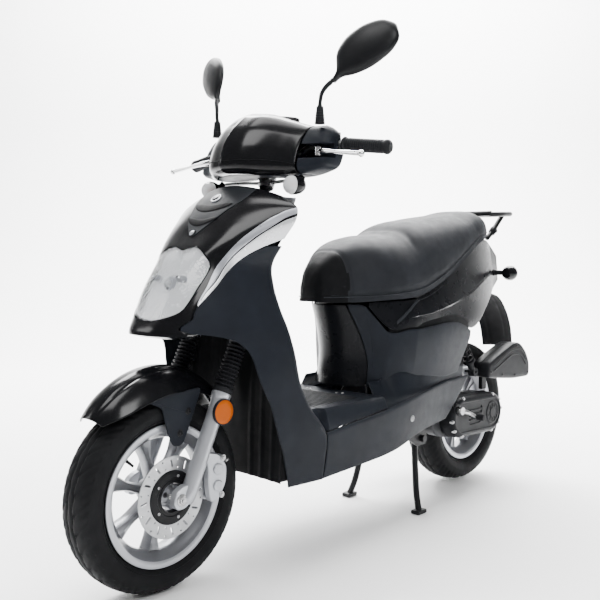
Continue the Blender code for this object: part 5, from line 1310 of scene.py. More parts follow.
def pods():
    """The housings of switches and levers, open at the front for the lever."""
    for side, word in SIDES:
        rings = []
        for x, drawn in ((0.1562, 0.0010), (0.1570, 0.0), (0.1650, 0.0), (0.1750, 0.0), (0.1850, 0.0),
                         (0.1950, 0.0), (0.2050, 0.0), (0.2130, 0.0012), (0.2180, 0.0030),
                         (0.2212, 0.0060), (0.2228, 0.0100)):
            rings.append([flipped(p, side) for p in fine_cowl_ring(x, 5, drawn)])
        pod = piece(f"pod_skin_{word}", Shape().rings(rings), "matte", "steering", f"switch_pod_{word}")
        slot = Shape()
        slot.box((min(side * 0.150, side * 0.240), -0.420, 1.022),
                 (max(side * 0.150, side * 0.240), -0.318, 1.058), 0.004)
        start, head = bar_line(side, 0.075)
        bore = Shape()
        bore.tube([start, start + head * 0.14], 0.0118, 32)
        tools = [slot, bore]
        for z, radius in ([(1.082, 0.0066), (1.036, 0.0076)] if side > 0 else [(1.060, 0.0066)]):
            hole = Shape()
            hole.tube([(side * 0.187, -0.292, z), (side * 0.187, -0.240, z)], radius, 28)
            tools.append(hole)
        carve(pod, *tools)
        soften(pod, 0.0007)
        seams = Shape()
        loop = [flipped(p, side) for p in fine_cowl_ring(0.1895, 5, -0.0002)]
        for a in range(30, 52):
            seams.tube([loop[a], loop[a + 1]], 0.0007, 6)
        piece(f"pod_seam_{word}", seams, "dark", "steering")


def bar_line(side, inward=0.0):
    """The straight handlebar end on one side: its start, shifted inward, and its direction."""
    flip = Vector((side, 1, 1))
    head = (BAR_OUTER - BAR_INNER).normalized()
    return (BAR_INNER - head * inward) * flip, head * flip


def grips():
    """The ribbed rubber grips with their collars and bar ends."""
    for side, name, body, node in ((1, "grip", "steering", "grip_left"),
                                   (-1, "throttle", "throttle", "throttle_grip")):
        start, head = bar_line(side, -0.026)
        profile = [(0.004, 0.0114), (-0.0002, 0.0128), (-0.0002, 0.0182), (0.0012, 0.0190),
                   (0.0050, 0.0190), (0.0070, 0.0172), (0.0090, 0.0158)]
        along = 0.0090
        while along < 0.106:
            profile += [(along + 0.0012, 0.0160), (along + 0.0018, 0.0168), (along + 0.0040, 0.0168),
                        (along + 0.0046, 0.0160)]
            along += 0.0058
        profile += [(0.112, 0.0162), (0.115, 0.0178), (0.121, 0.0178), (0.1245, 0.0160), (0.1278, 0.0120),
                    (0.1280, 0.0060)]
        piece(f"{name}_rubber", Shape().turned(profile, start, head, 48), "grip", body, node)


def levers():
    """The chromed brake levers, flattened along their blades, with ball ends and pivot screws."""
    for side, word in SIDES:
        path = smooth_path([(0.184, -0.338, 1.040), (0.205, -0.350, 1.038), (0.240, -0.357, 1.034),
                            (0.290, -0.362, 1.027), (0.334, -0.366, 1.021)], 36)
        rings = []
        for i, spot in enumerate(path):
            t = i / 35
            wide = mix(0.0075, 0.0052, min(1.0, t * 1.6)) * (1 + 0.12 * math.sin(t * 9))
            thin = mix(0.0056, 0.0036, t)
            head = (path[min(i + 1, 35)] - path[max(i - 1, 0)]).normalized()
            across = head.cross(Z_AXIS).normalized()
            up = across.cross(head)
            rings.append([flipped(spot + across * thin * math.cos(a) + up * wide * math.sin(a), side)
                          for a in round_turns(20)])
        lever = Shape()
        lever.rings(rings)
        tip = Vector((side * 0.3392, -0.3664, 1.0203))
        lever.turned(ball(0.0082, 0.0083, 15), tip, (side, -0.05, -0.12), 28)
        pivot = flipped(LEVER_PIVOT, side)
        lever.turned([(-0.0115, 0.0090), (-0.0105, 0.0105), (0.0105, 0.0105), (0.0115, 0.0090)], pivot,
                     Z_AXIS, 32)
        piece(f"lever_blade_{word}", lever, "chrome", f"lever_{word}", f"brake_lever_{word}")
        piece(f"lever_screw_{word}", Shape().bolt(pivot + Z_AXIS * 0.0112, Z_AXIS, 0.0040), "steel",
              f"lever_{word}")


def buttons():
    """The horn and starter buttons and the signal switch, with their bezels."""
    for name, node, x, z, radius in (("horn_cap", "horn_button", 0.187, 1.036, 0.0070),
                                     ("start_cap", "start_button", -0.187, 1.060, 0.0060),
                                     ("signal_cap", "signal_switch", 0.187, 1.082, 0.0060)):
        cap = Shape()
        cap.turned([(0.0, radius), (0.0180, radius), (0.0205, radius * 0.88), (0.0205, radius * 0.62),
                    (0.0196, radius * 0.30)], (x, -0.2825, z), Y_AXIS, 36)
        if node == "signal_switch":
            cap.box((x - 0.0028, -0.266, z - 0.003), (x + 0.0028, -0.2575, z + 0.013), 0.0015)
        piece(name, cap, "red" if name == "start_cap" else "grip", node, node)


def mirrors():
    """The mirror heads with their glass, and the arms with rubber boots and nuts."""
    axis = Vector((0.62, 0.40, 0.675)).normalized()
    facing = Vector((-0.16, 0.97, 0.0))
    facing = (facing - axis * facing.dot(axis)).normalized()
    across = axis.cross(facing).normalized()
    low_line, high_line, thick_line = [curve(*[(s[0], s[k]) for s in MIRROR_SECTIONS]) for k in (1, 2, 3)]

    def spot(along, share, depth):
        low, high = low_line(along) * MIRROR_SLIMMING, high_line(along) * MIRROR_SLIMMING
        return MIRROR_NECK + axis * along + across * mix(low, high, share) + facing * (depth + 0.006)

    for side, word in SIDES:
        rings = []
        for along in steps(0.0, 0.188, 46) + [0.193, 0.197, 0.200, 0.2022]:
            end = math.sqrt(max(0.02, 1 - max(0.0, (along - 0.186) / 0.0166) ** 2))
            ring = []
            for a in round_turns(40):
                behind = -thick_line(along) * max(0.0, math.sin(a)) ** 0.8 * end
                depth = behind + 0.004 * max(0.0, -math.sin(a)) ** 0.4
                ring.append(flipped(spot(along, 0.5 + 0.5 * math.cos(a) * end, depth), side))
            rings.append(ring)
        head = Shape()
        head.rings(rings)
        head.turned(ball(0.0062, 0.0062, 11), flipped(MIRROR_NECK, side), flipped(axis, side), 20)
        piece(f"mirror_shell_{word}", head, "paint", f"mirror_{word}", f"mirror_head_{word}")
        glass = Shape()
        rows = []
        for along in steps(0.046, 0.190, 30):
            drawn = 0.085 + 0.35 * max(0.0, (along - 0.175) / 0.015) ** 2
            drawn += 0.30 * max(0.0, (0.062 - along) / 0.016) ** 2
            rows.append([(along, mix(drawn, 1 - drawn, u)) for u in steps(0, 1, 15)])
        lens_rings = []
        for row in rows:
            front = [flipped(spot(s, u, 0.0052 - 0.0010 * (2 * u - 1) ** 2), side) for s, u in row]
            back = [flipped(spot(s, u, 0.0030), side) for s, u in reversed(row)]
            lens_rings.append(front + back)
        glass.rings(lens_rings)
        piece(f"mirror_glass_{word}", glass, "mirror", f"mirror_{word}")
        rod = [MIRROR_BASE + Vector((0, 0, z)) for z in (0.0028, 0.006, 0.012, 0.030, 0.045, 0.0455, 0.052)]
        rod += smooth_path([(0.1875, -0.3365, 1.160), (0.190, -0.334, 1.180), (0.199, -0.327, 1.198),
                            (0.2075, -0.3195, 1.2085)], 18)
        radii = [0.0128, 0.0126, 0.0118, 0.0098, 0.0086, 0.0060, 0.0048] + steps(0.0046, 0.0062, 18)
        arm = Shape()
        arm.tube([flipped(p, side) for p in rod], radii, 24)
        base = flipped(MIRROR_BASE, side)
        for k in range(4):
            lift = 0.016 + 0.0065 * k
            radius = mix(0.0118, 0.0090, k / 3)
            arm.turned([(lift, radius - 0.001), (lift + 0.001, radius + 0.0004),
                        (lift + 0.0024, radius + 0.0003), (lift + 0.0034, radius - 0.0012)], base, Z_AXIS,
                       24)
        piece(f"mirror_stem_{word}", arm, "grip", "steering", f"mirror_arm_{word}")


def front_signals():
    """The round front signals under the cowl, their brackets and the cross tube between them."""
    for side, word in SIDES:
        head = Vector((-side * 0.16, -1.0, 0))
        centre = Vector((side * 0.150, -0.396, 0.9565)) - head * 0.004
        signal_lamp(f"front_signal_{word}", centre, head, 0.0245, "steering")
        stalk = Shape()
        stalk.tube(smooth_path([(side * 0.148, -0.374, 0.960), (side * 0.146, -0.360, 0.968),
                                (side * 0.142, -0.352, 0.9765)], 12), 0.0092, 20)
        piece(f"front_signal_stalk_{word}", stalk, "grip", "steering")
    bracket = Shape()
    low, high = on_steering_axis(0.960), on_steering_axis(0.9835)
    bracket.tube([low, low.lerp(high, 0.1), low.lerp(high, 0.9), high],
                 [0.0195, 0.0215, 0.0215, 0.0195], 32)
    for side in (-1, 1):
        bracket.tube(smooth_path([on_steering_axis(0.972), Vector((side * 0.070, -0.338, 0.974)),
                                  Vector((side * 0.134, -0.352, 0.974))], 14), 0.0048, 14)
    piece("signal_bracket", bracket, "steel", "steering")


def steering_stem():
    """The stem and yoke of the fork with its clamp bolts, and the steel bar."""
    refinish("fork_crown", "cover")
    refinish("handlebar", "steel")
    bolts = Shape()
    for side in (-1, 1):
        centre = on_steering_axis(0.606) + Vector((side * (FORK_HALF_TRACK + 0.0168), 0, 0))
        bolts.hex_nut(centre, (side, 0, 0), 0.0055, 0.0050)
    piece("yoke_bolts", bolts, "steel", "steering")


# Fork and front wheel
def gaiters():
    """The ribbed rubber boots over the fixed fork tubes."""
    low_z, high_z = 0.4585, 0.5925
    for side, word in SIDES:
        across = Vector((side * FORK_HALF_TRACK, 0, 0))
        low, high = on_steering_axis(low_z) + across, on_steering_axis(high_z) + across
        length = (high - low).length
        folds = 13
        profile = [(0.000, 0.0150), (0.000, 0.0232), (0.0110, 0.0236), (0.0135, 0.0205)]
        for i in range(folds):
            start = 0.0150 + (length - 0.024) * i / folds
            pitch = (length - 0.024) / folds
            wide = mix(0.0245, 0.0225, i / folds)
            profile += [(start + pitch * 0.10, 0.0182), (start + pitch * 0.35, wide - 0.0010),
                        (start + pitch * 0.50, wide), (start + pitch * 0.65, wide - 0.0010),
                        (start + pitch * 0.90, 0.0182)]
        profile += [(length - 0.006, 0.0200), (length, 0.0200), (length, 0.0145)]
        gaiter = piece(f"gaiter_{word}", Shape().turned(profile, low, STEERING_AXIS, 40, loop=True),
                       "grip", "steering")
        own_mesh(gaiter)


def fork_legs():
    """The polished fork legs with collars, axle lugs, nuts and the reflectors beside them."""
    for side, word in SIDES:
        across = Vector((side * FORK_HALF_TRACK, 0, 0))
        low = on_steering_axis(0.2180) + across
        length = (on_steering_axis(0.458) + across - low).length
        profile = [(0.150, 0.001), (0.150, 0.0139), (length, 0.0139), (length, 0.0228),
                   (length - 0.001, 0.0236), (length - 0.010, 0.0236), (length - 0.013, 0.0222),
                   (length - 0.022, 0.0197), (length - 0.030, 0.0190), (0.060, 0.0190), (0.040, 0.0192),
                   (0.020, 0.0188), (0.006, 0.0172), (0.0, 0.0140)]
        leg = Shape()
        leg.turned(profile, low, STEERING_AXIS, 48)
        outline = side_outline(side * FORK_HALF_TRACK - 0.0095,
                               ((-0.722, 0.222), (-0.716, 0.248), (-0.690, 0.262), (-0.662, 0.258),
                                (-0.664, 0.226), (-0.690, 0.208), (-0.712, 0.208)), 0.010, 6)
        leg.prism(outline, (0.019, 0, 0), 0.0015)
        piece(f"fork_tube_{word}", leg, "silver", "fork", f"fork_leg_{word}")
        nut = Shape()
        end = FRONT_AXLE + X_AXIS * side * 0.0978
        nut.hex_nut(end, (side, 0, 0), 0.0095, 0.0070)
        nut.turned([(-0.046, 0.0062), (0.0, 0.0062)], end + X_AXIS * side * 0.0007, (side, 0, 0), 20)
        nut.turned([(0.006, 0.0055), (0.0092, 0.0050), (0.0096, 0.0020)], end, (side, 0, 0), 20)
        piece(f"axle_nut_{word}", nut, "steel", "fork")
        centre = Vector((side * 0.1105, -0.585, 0.417))
        cup = Shape()
        cup.turned([(-0.006, 0.020), (-0.005, 0.0305), (0.0010, 0.0310), (0.0028, 0.0302),
                    (0.0028, 0.0285), (0.0005, 0.0280)], centre, (side, 0, 0), 48)
        cup.box(centre + Vector((-side * 0.0050 - 0.004, -0.016, -0.006)),
                centre + Vector((-side * 0.0050 + 0.004, 0.004, 0.006)), 0.001)
        piece(f"reflector_cup_{word}", cup, "paint", "fork")
        disc = Shape()
        rings = []
        for along, radius in ((0.0002, 0.0280), (0.0022, 0.0284), (0.0034, 0.0265), (0.0036, 0.0180),
                              (0.0037, 0.0090), (0.0037, 0.0010)):
            rings.append(circle(centre + X_AXIS * side * along, (side, 0, 0), radius, 48))
        disc.rings(rings)
        piece(f"reflector_{word}", disc, "amber", "fork")


def fender():
    """The front mudguard with its raised middle, side tabs and their screws."""
    crown = curve((40.0, 0.268), (50.0, 0.276), (60.0, 0.285), (90.0, 0.300), (120.0, 0.288),
                  (138.0, 0.272))
    lip = curve((40.0, 0.262), (60.0, 0.240), (90.0, 0.240), (120.0, 0.250), (138.0, 0.256))
    half = curve((40.0, 0.022), (52.0, 0.056), (72.0, 0.073), (88.0, 0.072), (102.0, 0.0615),
                 (140.0, 0.0610))
    rows = []
    for turn in steps(47.0, 138.0, 80):
        a = math.radians(turn)
        row = []
        for u in steps(-1, 1, 49):
            radius = mix(crown(turn), lip(turn), abs(u) ** 2.4)
            ridge = 0.0030 * math.exp(-(((abs(u) - 0.42) / 0.05) ** 2)) * min(1.0, (turn - 44) / 20)
            radius -= ridge
            row.append(Vector((half(turn) * u, FRONT_AXLE.y - radius * math.cos(a),
                               FRONT_AXLE.z + radius * math.sin(a))))
        rows.append(row)
    panel("fender_skin", rows, "gloss", "fork", "front_fender", rim=0.0009)
    for side, word in SIDES:
        tab = Shape()
        outline = side_outline(side * 0.0585, ((-0.780, 0.462), (-0.728, 0.440), (-0.712, 0.380),
                                               (-0.696, 0.345), (-0.668, 0.345), (-0.642, 0.400),
                                               (-0.610, 0.474)), 0.014, 6)
        tab.prism(outline, (side * 0.0045, 0, 0), 0.0012)
        piece(f"fender_tab_{word}", tab, "matte", "fork")
        screws = Shape()
        for y, z in ((-0.652, 0.422), (-0.676, 0.374)):
            screws.bolt((side * 0.0632, y, z), (side, 0, 0), 0.0062)
        piece(f"fender_screws_{word}", screws, "paint", "fork")


def brake():
    """The slotted brake disc on its black carrier, and the caliper with its bolts and pipe union."""
    x = 0.0600
    centre = Vector((x, FRONT_AXLE.y, FRONT_AXLE.z))
    plate = Shape()
    plate.turned([(-0.0018, 0.0625), (-0.0018, 0.0945), (-0.0013, 0.0950), (0.0013, 0.0950),
                  (0.0018, 0.0945), (0.0018, 0.0625)], centre, X_AXIS, 120, loop=True)
    disc = piece("disc_plate", plate, "disc", "front_wheel", "brake_disc", sharp=30.0)
    holes = Shape()
    slot = ((-0.0095, -0.0026), (0.0095, -0.0026), (0.0095, 0.0026), (-0.0095, 0.0026))
    for i in range(12):
        a = 2 * math.pi * i / 12
        spot = centre + Vector((0, 0.0785 * math.cos(a), 0.0785 * math.sin(a)))
        spin = Quaternion(X_AXIS, a + 0.25)
        outline = rounded([spot + spin @ Vector((-0.010, y, z)) for y, z in slot], 0.0025, 5)
        holes.prism(outline, (0.020, 0, 0), 0.0001)
        for radius in (0.0690, 0.0880):
            b = a + math.pi / 12 + (0.04 if radius > 0.08 else 0.0)
            spot = centre + Vector((0, radius * math.cos(b), radius * math.sin(b)))
            holes.turned([(-0.010, 0.0024), (0.010, 0.0024)], spot, X_AXIS, 14)
    carve(disc, holes)
    carrier = Shape()
    carrier.turned([(0.0020, 0.0630), (0.0045, 0.0615), (0.0060, 0.0580), (0.0060, 0.0440),
                    (0.0045, 0.0420), (0.0045, 0.0360), (0.0060, 0.0340), (-0.0040, 0.0300),
                    (-0.0040, 0.0580), (-0.0020, 0.0625)], centre, X_AXIS, 72, loop=True)
    piece("disc_carrier", carrier, "paint", "front_wheel")
    bolts = Shape()
    for i in range(5):
        a = 2 * math.pi * i / 5
        bolts.bolt(centre + Vector((0.0052, 0.0500 * math.cos(a), 0.0500 * math.sin(a))), X_AXIS, 0.0036)
    piece("disc_bolts", bolts, "steel", "front_wheel")
    body = Shape()
    inner = side_outline(0.0460, ((-0.618, 0.322), (-0.575, 0.312), (-0.548, 0.280), (-0.550, 0.240),
                                  (-0.572, 0.202), (-0.600, 0.198), (-0.606, 0.240), (-0.606, 0.285)),
                         0.012, 6)
    body.prism(inner, (0.0095, 0, 0), 0.0016)
    body.prism([p + X_AXIS * 0.0185 for p in inner], (0.0180, 0, 0), 0.0020)
    bridge = side_outline(0.0560, ((-0.572, 0.306), (-0.549, 0.282), (-0.551, 0.240), (-0.572, 0.206),
                                   (-0.5905, 0.2035), (-0.5985, 0.232), (-0.5985, 0.268),
                                   (-0.588, 0.299)), 0.006, 5)
    body.prism(bridge, (0.0088, 0, 0), 0.0008)
    for z in (0.236, 0.276):
        body.turned([(0.0, 0.0135), (0.0035, 0.0135), (0.0050, 0.0110), (0.0045, 0.0060)],
                    Vector((0.0820, -0.578, z)), X_AXIS, 32)
    for y, z in ((-0.561, 0.300), (-0.566, 0.212)):
        body.tube([(0.047, y, z), (0.0835, y, z)], 0.0068, 24)
    piece("caliper_body", body, "silver", "fork", "brake_caliper")
    fittings = Shape()
    for y, z in ((-0.561, 0.300), (-0.566, 0.212), (-0.610, 0.318)):
        fittings.hex_nut((0.0832, y, z), X_AXIS, 0.0050, 0.0048)
    fittings.turned([(0.0, 0.0042), (0.010, 0.0042), (0.012, 0.0024)], (0.074, -0.548, 0.288),
                    (0, 1, 0.4), 18)
    piece("caliper_fittings", fittings, "steel", "fork")


def tyre(word, centre, radius, width, body):
    """A tyre with ribbed sidewalls and slanted tread grooves."""
    half = width / 2
    bead = RIM_RADIUS - 0.0122
    line = curve((0.0, radius), (half * 0.30, mix(RIM_RADIUS, radius, 0.985)),
                 (half * 0.58, mix(RIM_RADIUS, radius, 0.925)),
                 (half * 0.80, mix(RIM_RADIUS, radius, 0.820)),
                 (half * 0.93, mix(RIM_RADIUS, radius, 0.690)), (half, mix(RIM_RADIUS, radius, 0.50)))
    around = 288
    crown = [half * math.sin(a) for a in steps(0, math.pi / 2 * 0.985, 26)]
    outer = [(x, line(x)) for x in crown]
    side = [(half * 0.992, mix(RIM_RADIUS, radius, 0.40)), (half * 0.955, mix(RIM_RADIUS, radius, 0.29)),
            (half * 0.900, mix(RIM_RADIUS, radius, 0.20)), (half * 0.915, mix(RIM_RADIUS, radius, 0.185)),
            (half * 0.880, mix(RIM_RADIUS, radius, 0.165)), (half * 0.800, mix(RIM_RADIUS, radius, 0.10)),
            (0.0400, RIM_RADIUS + 0.0035), (0.0372, RIM_RADIUS + 0.0010), (0.0372, bead)]
    left = outer + side
    right = [(-x, r) for x, r in reversed(left[1:])]
    inside = [(-0.0290, bead), (-0.0290, RIM_RADIUS), (-(half - 0.010), mix(RIM_RADIUS, radius, 0.45)),
              (0.0, radius - 0.0125), (half - 0.010, mix(RIM_RADIUS, radius, 0.45)), (0.0290, RIM_RADIUS),
              (0.0290, bead)]
    profile = right + left + inside[::-1]
    pitch = 2 * math.pi / 32
    rings = []
    for i in range(around):
        a = 2 * math.pi * i / around
        ring = []
        for k, (x, r) in enumerate(profile):
            tread = k < len(right) + len(left)
            if tread and abs(x) < half * 0.95 and r > mix(RIM_RADIUS, radius, 0.62):
                r -= groove(a, x, abs(x) / half, pitch)
            ring.append(Vector((centre.x + x, centre.y + r * math.cos(a), centre.z + r * math.sin(a))))
        rings.append(ring)
    piece(f"{word}_tyre_skin", Shape().rings(rings, loop=True), "tyre", body, f"{word}_tyre", sharp=50.0)


def groove(turn, x, share, pitch):
    """The depth of the tread: slanted grooves on both shoulders and a waved pair in the middle."""
    slant = turn + (0.30 * share * (1 if x > 0 else -1)) + (0 if x > 0 else pitch / 2)
    phase = (slant / pitch) % 1.0
    deep = 0.0
    if 0.26 < share < 0.88:
        deep = 0.0042 * math.exp(-(((phase - 0.5) / 0.085) ** 2))
    if share > 0.62:
        other = ((slant - pitch * 0.5) / pitch) % 1.0
        deep = max(deep, 0.0034 * math.exp(-(((other - 0.5) / 0.060) ** 2)))
    wave = share - 0.17 - 0.035 * math.sin(turn / pitch * 2 * math.pi)
    deep = max(deep, 0.0038 * math.exp(-((wave / 0.045) ** 2)))
    return deep


def rim(word, centre, body, phase):
    """A cast wheel: stepped barrel with bright lips, flared spokes, hub and valve, and the rear axle."""
    barrel = [(0.0435, 0.1662), (0.0440, 0.1640), (0.0430, 0.1560), (0.0405, 0.1500), (0.0300, 0.1440),
              (0.0210, 0.1345), (0.0140, 0.1310), (0.0, 0.1300)]
    well = [(0.0, 0.1370), (0.0175, 0.1390), (0.0380, 0.1535), (0.0388, 0.1600), (0.0388, 0.1662),
            (0.0410, 0.1672)]
    inner = barrel + [(-x, r) for x, r in reversed(barrel[:-1])]
    outer = [(-x, r) for x, r in reversed(well[1:])] + well
    wheel = Shape()
    wheel.turned(inner + outer, centre, X_AXIS, 120, loop=True)
    for i in range(SPOKES):
        turn = Quaternion(X_AXIS, phase + 2 * math.pi * i / SPOKES)
        rings = []
        for t in steps(0, 1, 16):
            radius = mix(0.0290, 0.1345, t)
            wide = mix(0.0125, 0.0100, min(1.0, t * 2)) + 0.0120 * max(0.0, t - 0.55) ** 1.5 * 3.2
            deep = mix(0.0165, 0.0150, t) + 0.004 * max(0.0, t - 0.7) * 3
            crest = 0.0035
            ring = []
            for px, py in ((-deep, -wide * 0.80), (-deep, wide * 0.80), (-deep * 0.55, wide),
                           (deep * 0.55, wide), (deep, wide * 0.72), (deep - crest, wide * 0.40),
                           (deep - crest, -wide * 0.40), (deep, -wide * 0.72), (deep * 0.55, -wide),
                           (-deep * 0.55, -wide)):
                ring.append(centre + turn @ Vector((px, py, radius)))
            rings.append(ring)
        wheel.rings(rings)
    bore = 0.0066 if word == "front" else 0.0088
    wheel.turned([(-0.0400, bore), (-0.0400, 0.0240), (-0.0385, 0.0262), (-0.016, 0.0335),
                  (0.016, 0.0335), (0.0385, 0.0262), (0.0400, 0.0240), (0.0400, 0.0180), (0.0380, 0.0170),
                  (0.0380, bore)], centre, X_AXIS, 60, loop=True)
    piece(f"{word}_wheel_casting", wheel, "wheel", body, f"{word}_rim", sharp=32.0)
    lip = Shape()
    for side in (-1, 1):
        lip.turned([(0.0438, 0.1664), (0.0444, 0.1645), (0.0436, 0.1560), (0.0412, 0.1503),
                    (0.0400, 0.1515), (0.0424, 0.1570), (0.0430, 0.1650)], centre, X_AXIS * side, 120,
                   loop=True)
    piece(f"{word}_rim_lip", lip, "silver", body)
    valve = Shape()
    up = Quaternion(X_AXIS, phase + math.pi / SPOKES) @ Vector((0, 0, 1))
    start = centre + X_AXIS * 0.006 + up * 0.1325
    valve.tube([start, start - up * 0.010 + X_AXIS * 0.003, start - up * 0.026 + X_AXIS * 0.010],
               [0.0048, 0.0038, 0.0032], 16)
    piece(f"{word}_valve", valve, "grip", body)
    if word == "rear":
        axle = Shape()
        axle.tube([centre - X_AXIS * 0.062, centre + X_AXIS * 0.088], 0.0082, 24)
        axle.hex_nut(centre - X_AXIS * 0.0405, -X_AXIS, 0.0125, 0.0100)
        piece("rear_axle_nut", axle, "steel", body)


# Swinging power unit
def engine():
    """The cast engine and gear case: finned barrel, hangers, bolts, drain plug and plug cap."""
    shape = Shape()
    shape.box((-0.088, 0.262, 0.212), (0.065, 0.372, 0.352), 0.012)
    outline = side_outline(0.064, ((0.330, 0.215), (0.330, 0.330), (0.420, 0.338), (0.640, 0.322),
                                   (0.690, 0.280), (0.690, 0.225), (0.650, 0.195), (0.400, 0.195)), 0.030,
                           6)
    shape.prism(outline, (0.034, 0, 0), 0.003)
    shape.box((-0.048, 0.118, 0.256), (0.040, 0.272, 0.334), 0.006)
    for k in range(9):
        y = 0.164 + k * 0.0105
        shape.box((-0.0592, y, 0.2468), (0.0492, y + 0.0032, 0.3412), 0.0012)
    shape.box((-0.0560, 0.1105, 0.2485), (0.0460, 0.1520, 0.3400), 0.009)
    hanger = side_outline(-0.0600, ((0.180, 0.320), (0.178, 0.382), (0.190, 0.396), (0.212, 0.396),
                                    (0.290, 0.345), (0.290, 0.320)), 0.008, 4)
    shape.prism(hanger, (0.0100, 0, 0), 0.0015)
    shape.prism([p + X_AXIS * 0.1100 for p in hanger], (0.0100, 0, 0), 0.0015)
    shape.box((-0.0590, 0.236, 0.322), (0.0590, 0.290, 0.343), 0.004)
    lug = side_outline(0.0840, ((0.535, 0.310), (0.545, 0.395), (0.553, 0.398), (0.567, 0.398),
                                (0.575, 0.395), (0.590, 0.310)), 0.006, 4)
    shape.prism(lug, (0.0085, 0, 0), 0.0012)
    block = piece("engine_cast", shape, "cast", "swing", "engine_case", sharp=38.0)
    bores = Shape()
    bores.tube([(-0.080, 0.195, 0.380), (0.080, 0.195, 0.380)], 0.0090, 28)
    bores.tube([(0.100, REAR_AXLE.y, REAR_AXLE.z), (0.050, REAR_AXLE.y, REAR_AXLE.z)], 0.0125, 28)
    bores.tube([(0.075, 0.560, 0.395), (0.100, 0.560, 0.395)], 0.0048, 20)
    carve(block, bores)
    bolts = Shape()
    for y, z in ((0.345, 0.230), (0.345, 0.315), (0.440, 0.206), (0.520, 0.204), (0.600, 0.204)):
        bolts.hex_nut((-0.0885 if y < 0.35 else 0.0985, y, z), (-1 if y < 0.35 else 1, 0, 0), 0.0055,
                      0.0050)
    for y, z in ((0.282, 0.345), (0.282, 0.225), (0.352, 0.345)):
        bolts.hex_nut((-0.0885, y, z), (-1, 0, 0), 0.0050, 0.0048)
    bolts.hex_nut((-0.020, 0.320, 0.2115), (0, 0, -1), 0.0100, 0.0080)
    bolts.tube([(-0.0605, 0.195, 0.380), (-0.0640, 0.195, 0.380)], 0.0130, 24)
    bolts.tube([(0.0605, 0.195, 0.380), (0.0640, 0.195, 0.380)], 0.0130, 24)
    piece("engine_bolts", bolts, "steel", "swing")
    cap = Shape()
    cap.tube(smooth_path([(-0.058, 0.132, 0.292), (-0.072, 0.130, 0.294), (-0.078, 0.138, 0.300),
                          (-0.078, 0.156, 0.310)], 12), [0.0072] * 4 + [0.0066] * 8, 18)
    piece("spark_plug_cap", cap, "grip", "swing")


def stadium(front, rear, radius, x, count=26):
    """An outline round two centres: half circles joined by straight runs, at a station across."""
    run = Vector((0, rear[0] - front[0], rear[1] - front[1])).normalized()
    up = Vector((0, -run.z, run.y))
    result = []
    for centre, first in ((front, 0.5), (rear, 1.5)):
        middle = Vector((x, centre[0], centre[1]))
        for k in range(count):
            a = math.pi * (first + k / (count - 1))
            result.append(middle + (run * math.cos(a) + up * math.sin(a)) * radius)
    return result


def cvt_cover():
    """The long transmission cover: crowned rim, ribbed window, vent disc, screws and kick boss."""
    front, rear = (0.432, 0.263), (0.622, 0.256)
    rings = []
    for x, radius in ((0.0985, 0.0640), (0.0985, 0.0678), (0.1000, 0.0682), (0.1060, 0.0682),
                      (0.1068, 0.0672), (0.1300, 0.0668), (0.1385, 0.0655), (0.1440, 0.0620),
                      (0.1478, 0.0570), (0.1492, 0.0520), (0.1490, 0.0490), (0.1462, 0.0470),
                      (0.1458, 0.0440), (0.1462, 0.0200)):
        rings.append(stadium(front, rear, radius, x))
    cover = piece("transmission_shell", Shape().rings(rings), "cover", "swing", "cvt_cover", sharp=32.0)
    cuts = Shape()
    window = side_outline(0.1430, ((0.470, 0.232), (0.545, 0.232), (0.556, 0.290), (0.470, 0.292)), 0.012,
                          6)
    cuts.prism(window, (0.0100, 0, 0), 0.0005)
    cuts.tube([(0.120, KICK_PIVOT.y, KICK_PIVOT.z), (0.170, KICK_PIVOT.y, KICK_PIVOT.z)], 0.0135, 32)
    carve(cover, cuts)
    trim = Shape()
    for k in range(3):
        z = 0.2430 + 0.0155 * k
        trim.box((0.1425, 0.4750, z), (0.1468, 0.5490 + 0.002 * k, z + 0.0070), 0.0022)
    boss = Vector((0.1420, KICK_PIVOT.y, KICK_PIVOT.z))
    trim.turned([(0.0, 0.0215), (0.0050, 0.0210), (0.0072, 0.0190), (0.0075, 0.0138), (0.0, 0.0138)],
                boss, X_AXIS, 40, loop=True)
    disc = Vector((0.1455, rear[0], rear[1]))
    trim.turned([(0.0, 0.0400), (0.0022, 0.0395), (0.0030, 0.0370), (0.0026, 0.0330), (0.0010, 0.0320),
                 (0.0012, 0.0180), (0.0034, 0.0165), (0.0036, 0.0060)], disc, X_AXIS, 48)
    for i in range(10):
        turn = Quaternion(X_AXIS, 2 * math.pi * i / 10)
        trim.box(disc + Vector((0.0006, -0.0014, 0.0185)), disc + Vector((0.0026, 0.0014, 0.0320)),
                 0.0008, turn, disc)
    for k in range(7):
        y = 0.446 + 0.021 * k
        for z in (0.1955, 0.3240):
            trim.box((0.1040, y, z - 0.0012), (0.1300, y + 0.0030, z + 0.0012), 0.0010)
    piece("transmission_trim", trim, "cover", "swing")
    screws = Shape()
    rim_line = stadium(front, rear, 0.0605, 0.1420, 12)
    for i in (0, 3, 6, 8, 11, 12, 15, 18, 20, 23):
        spot = rim_line[i]
        screws.turned([(-0.006, 0.0060), (0.0022, 0.0060), (0.0028, 0.0052)], spot, X_AXIS, 20)
        screws.hex_nut(spot + X_AXIS * 0.0020, X_AXIS, 0.0042, 0.0048)
    piece("transmission_screws", screws, "steel", "swing")


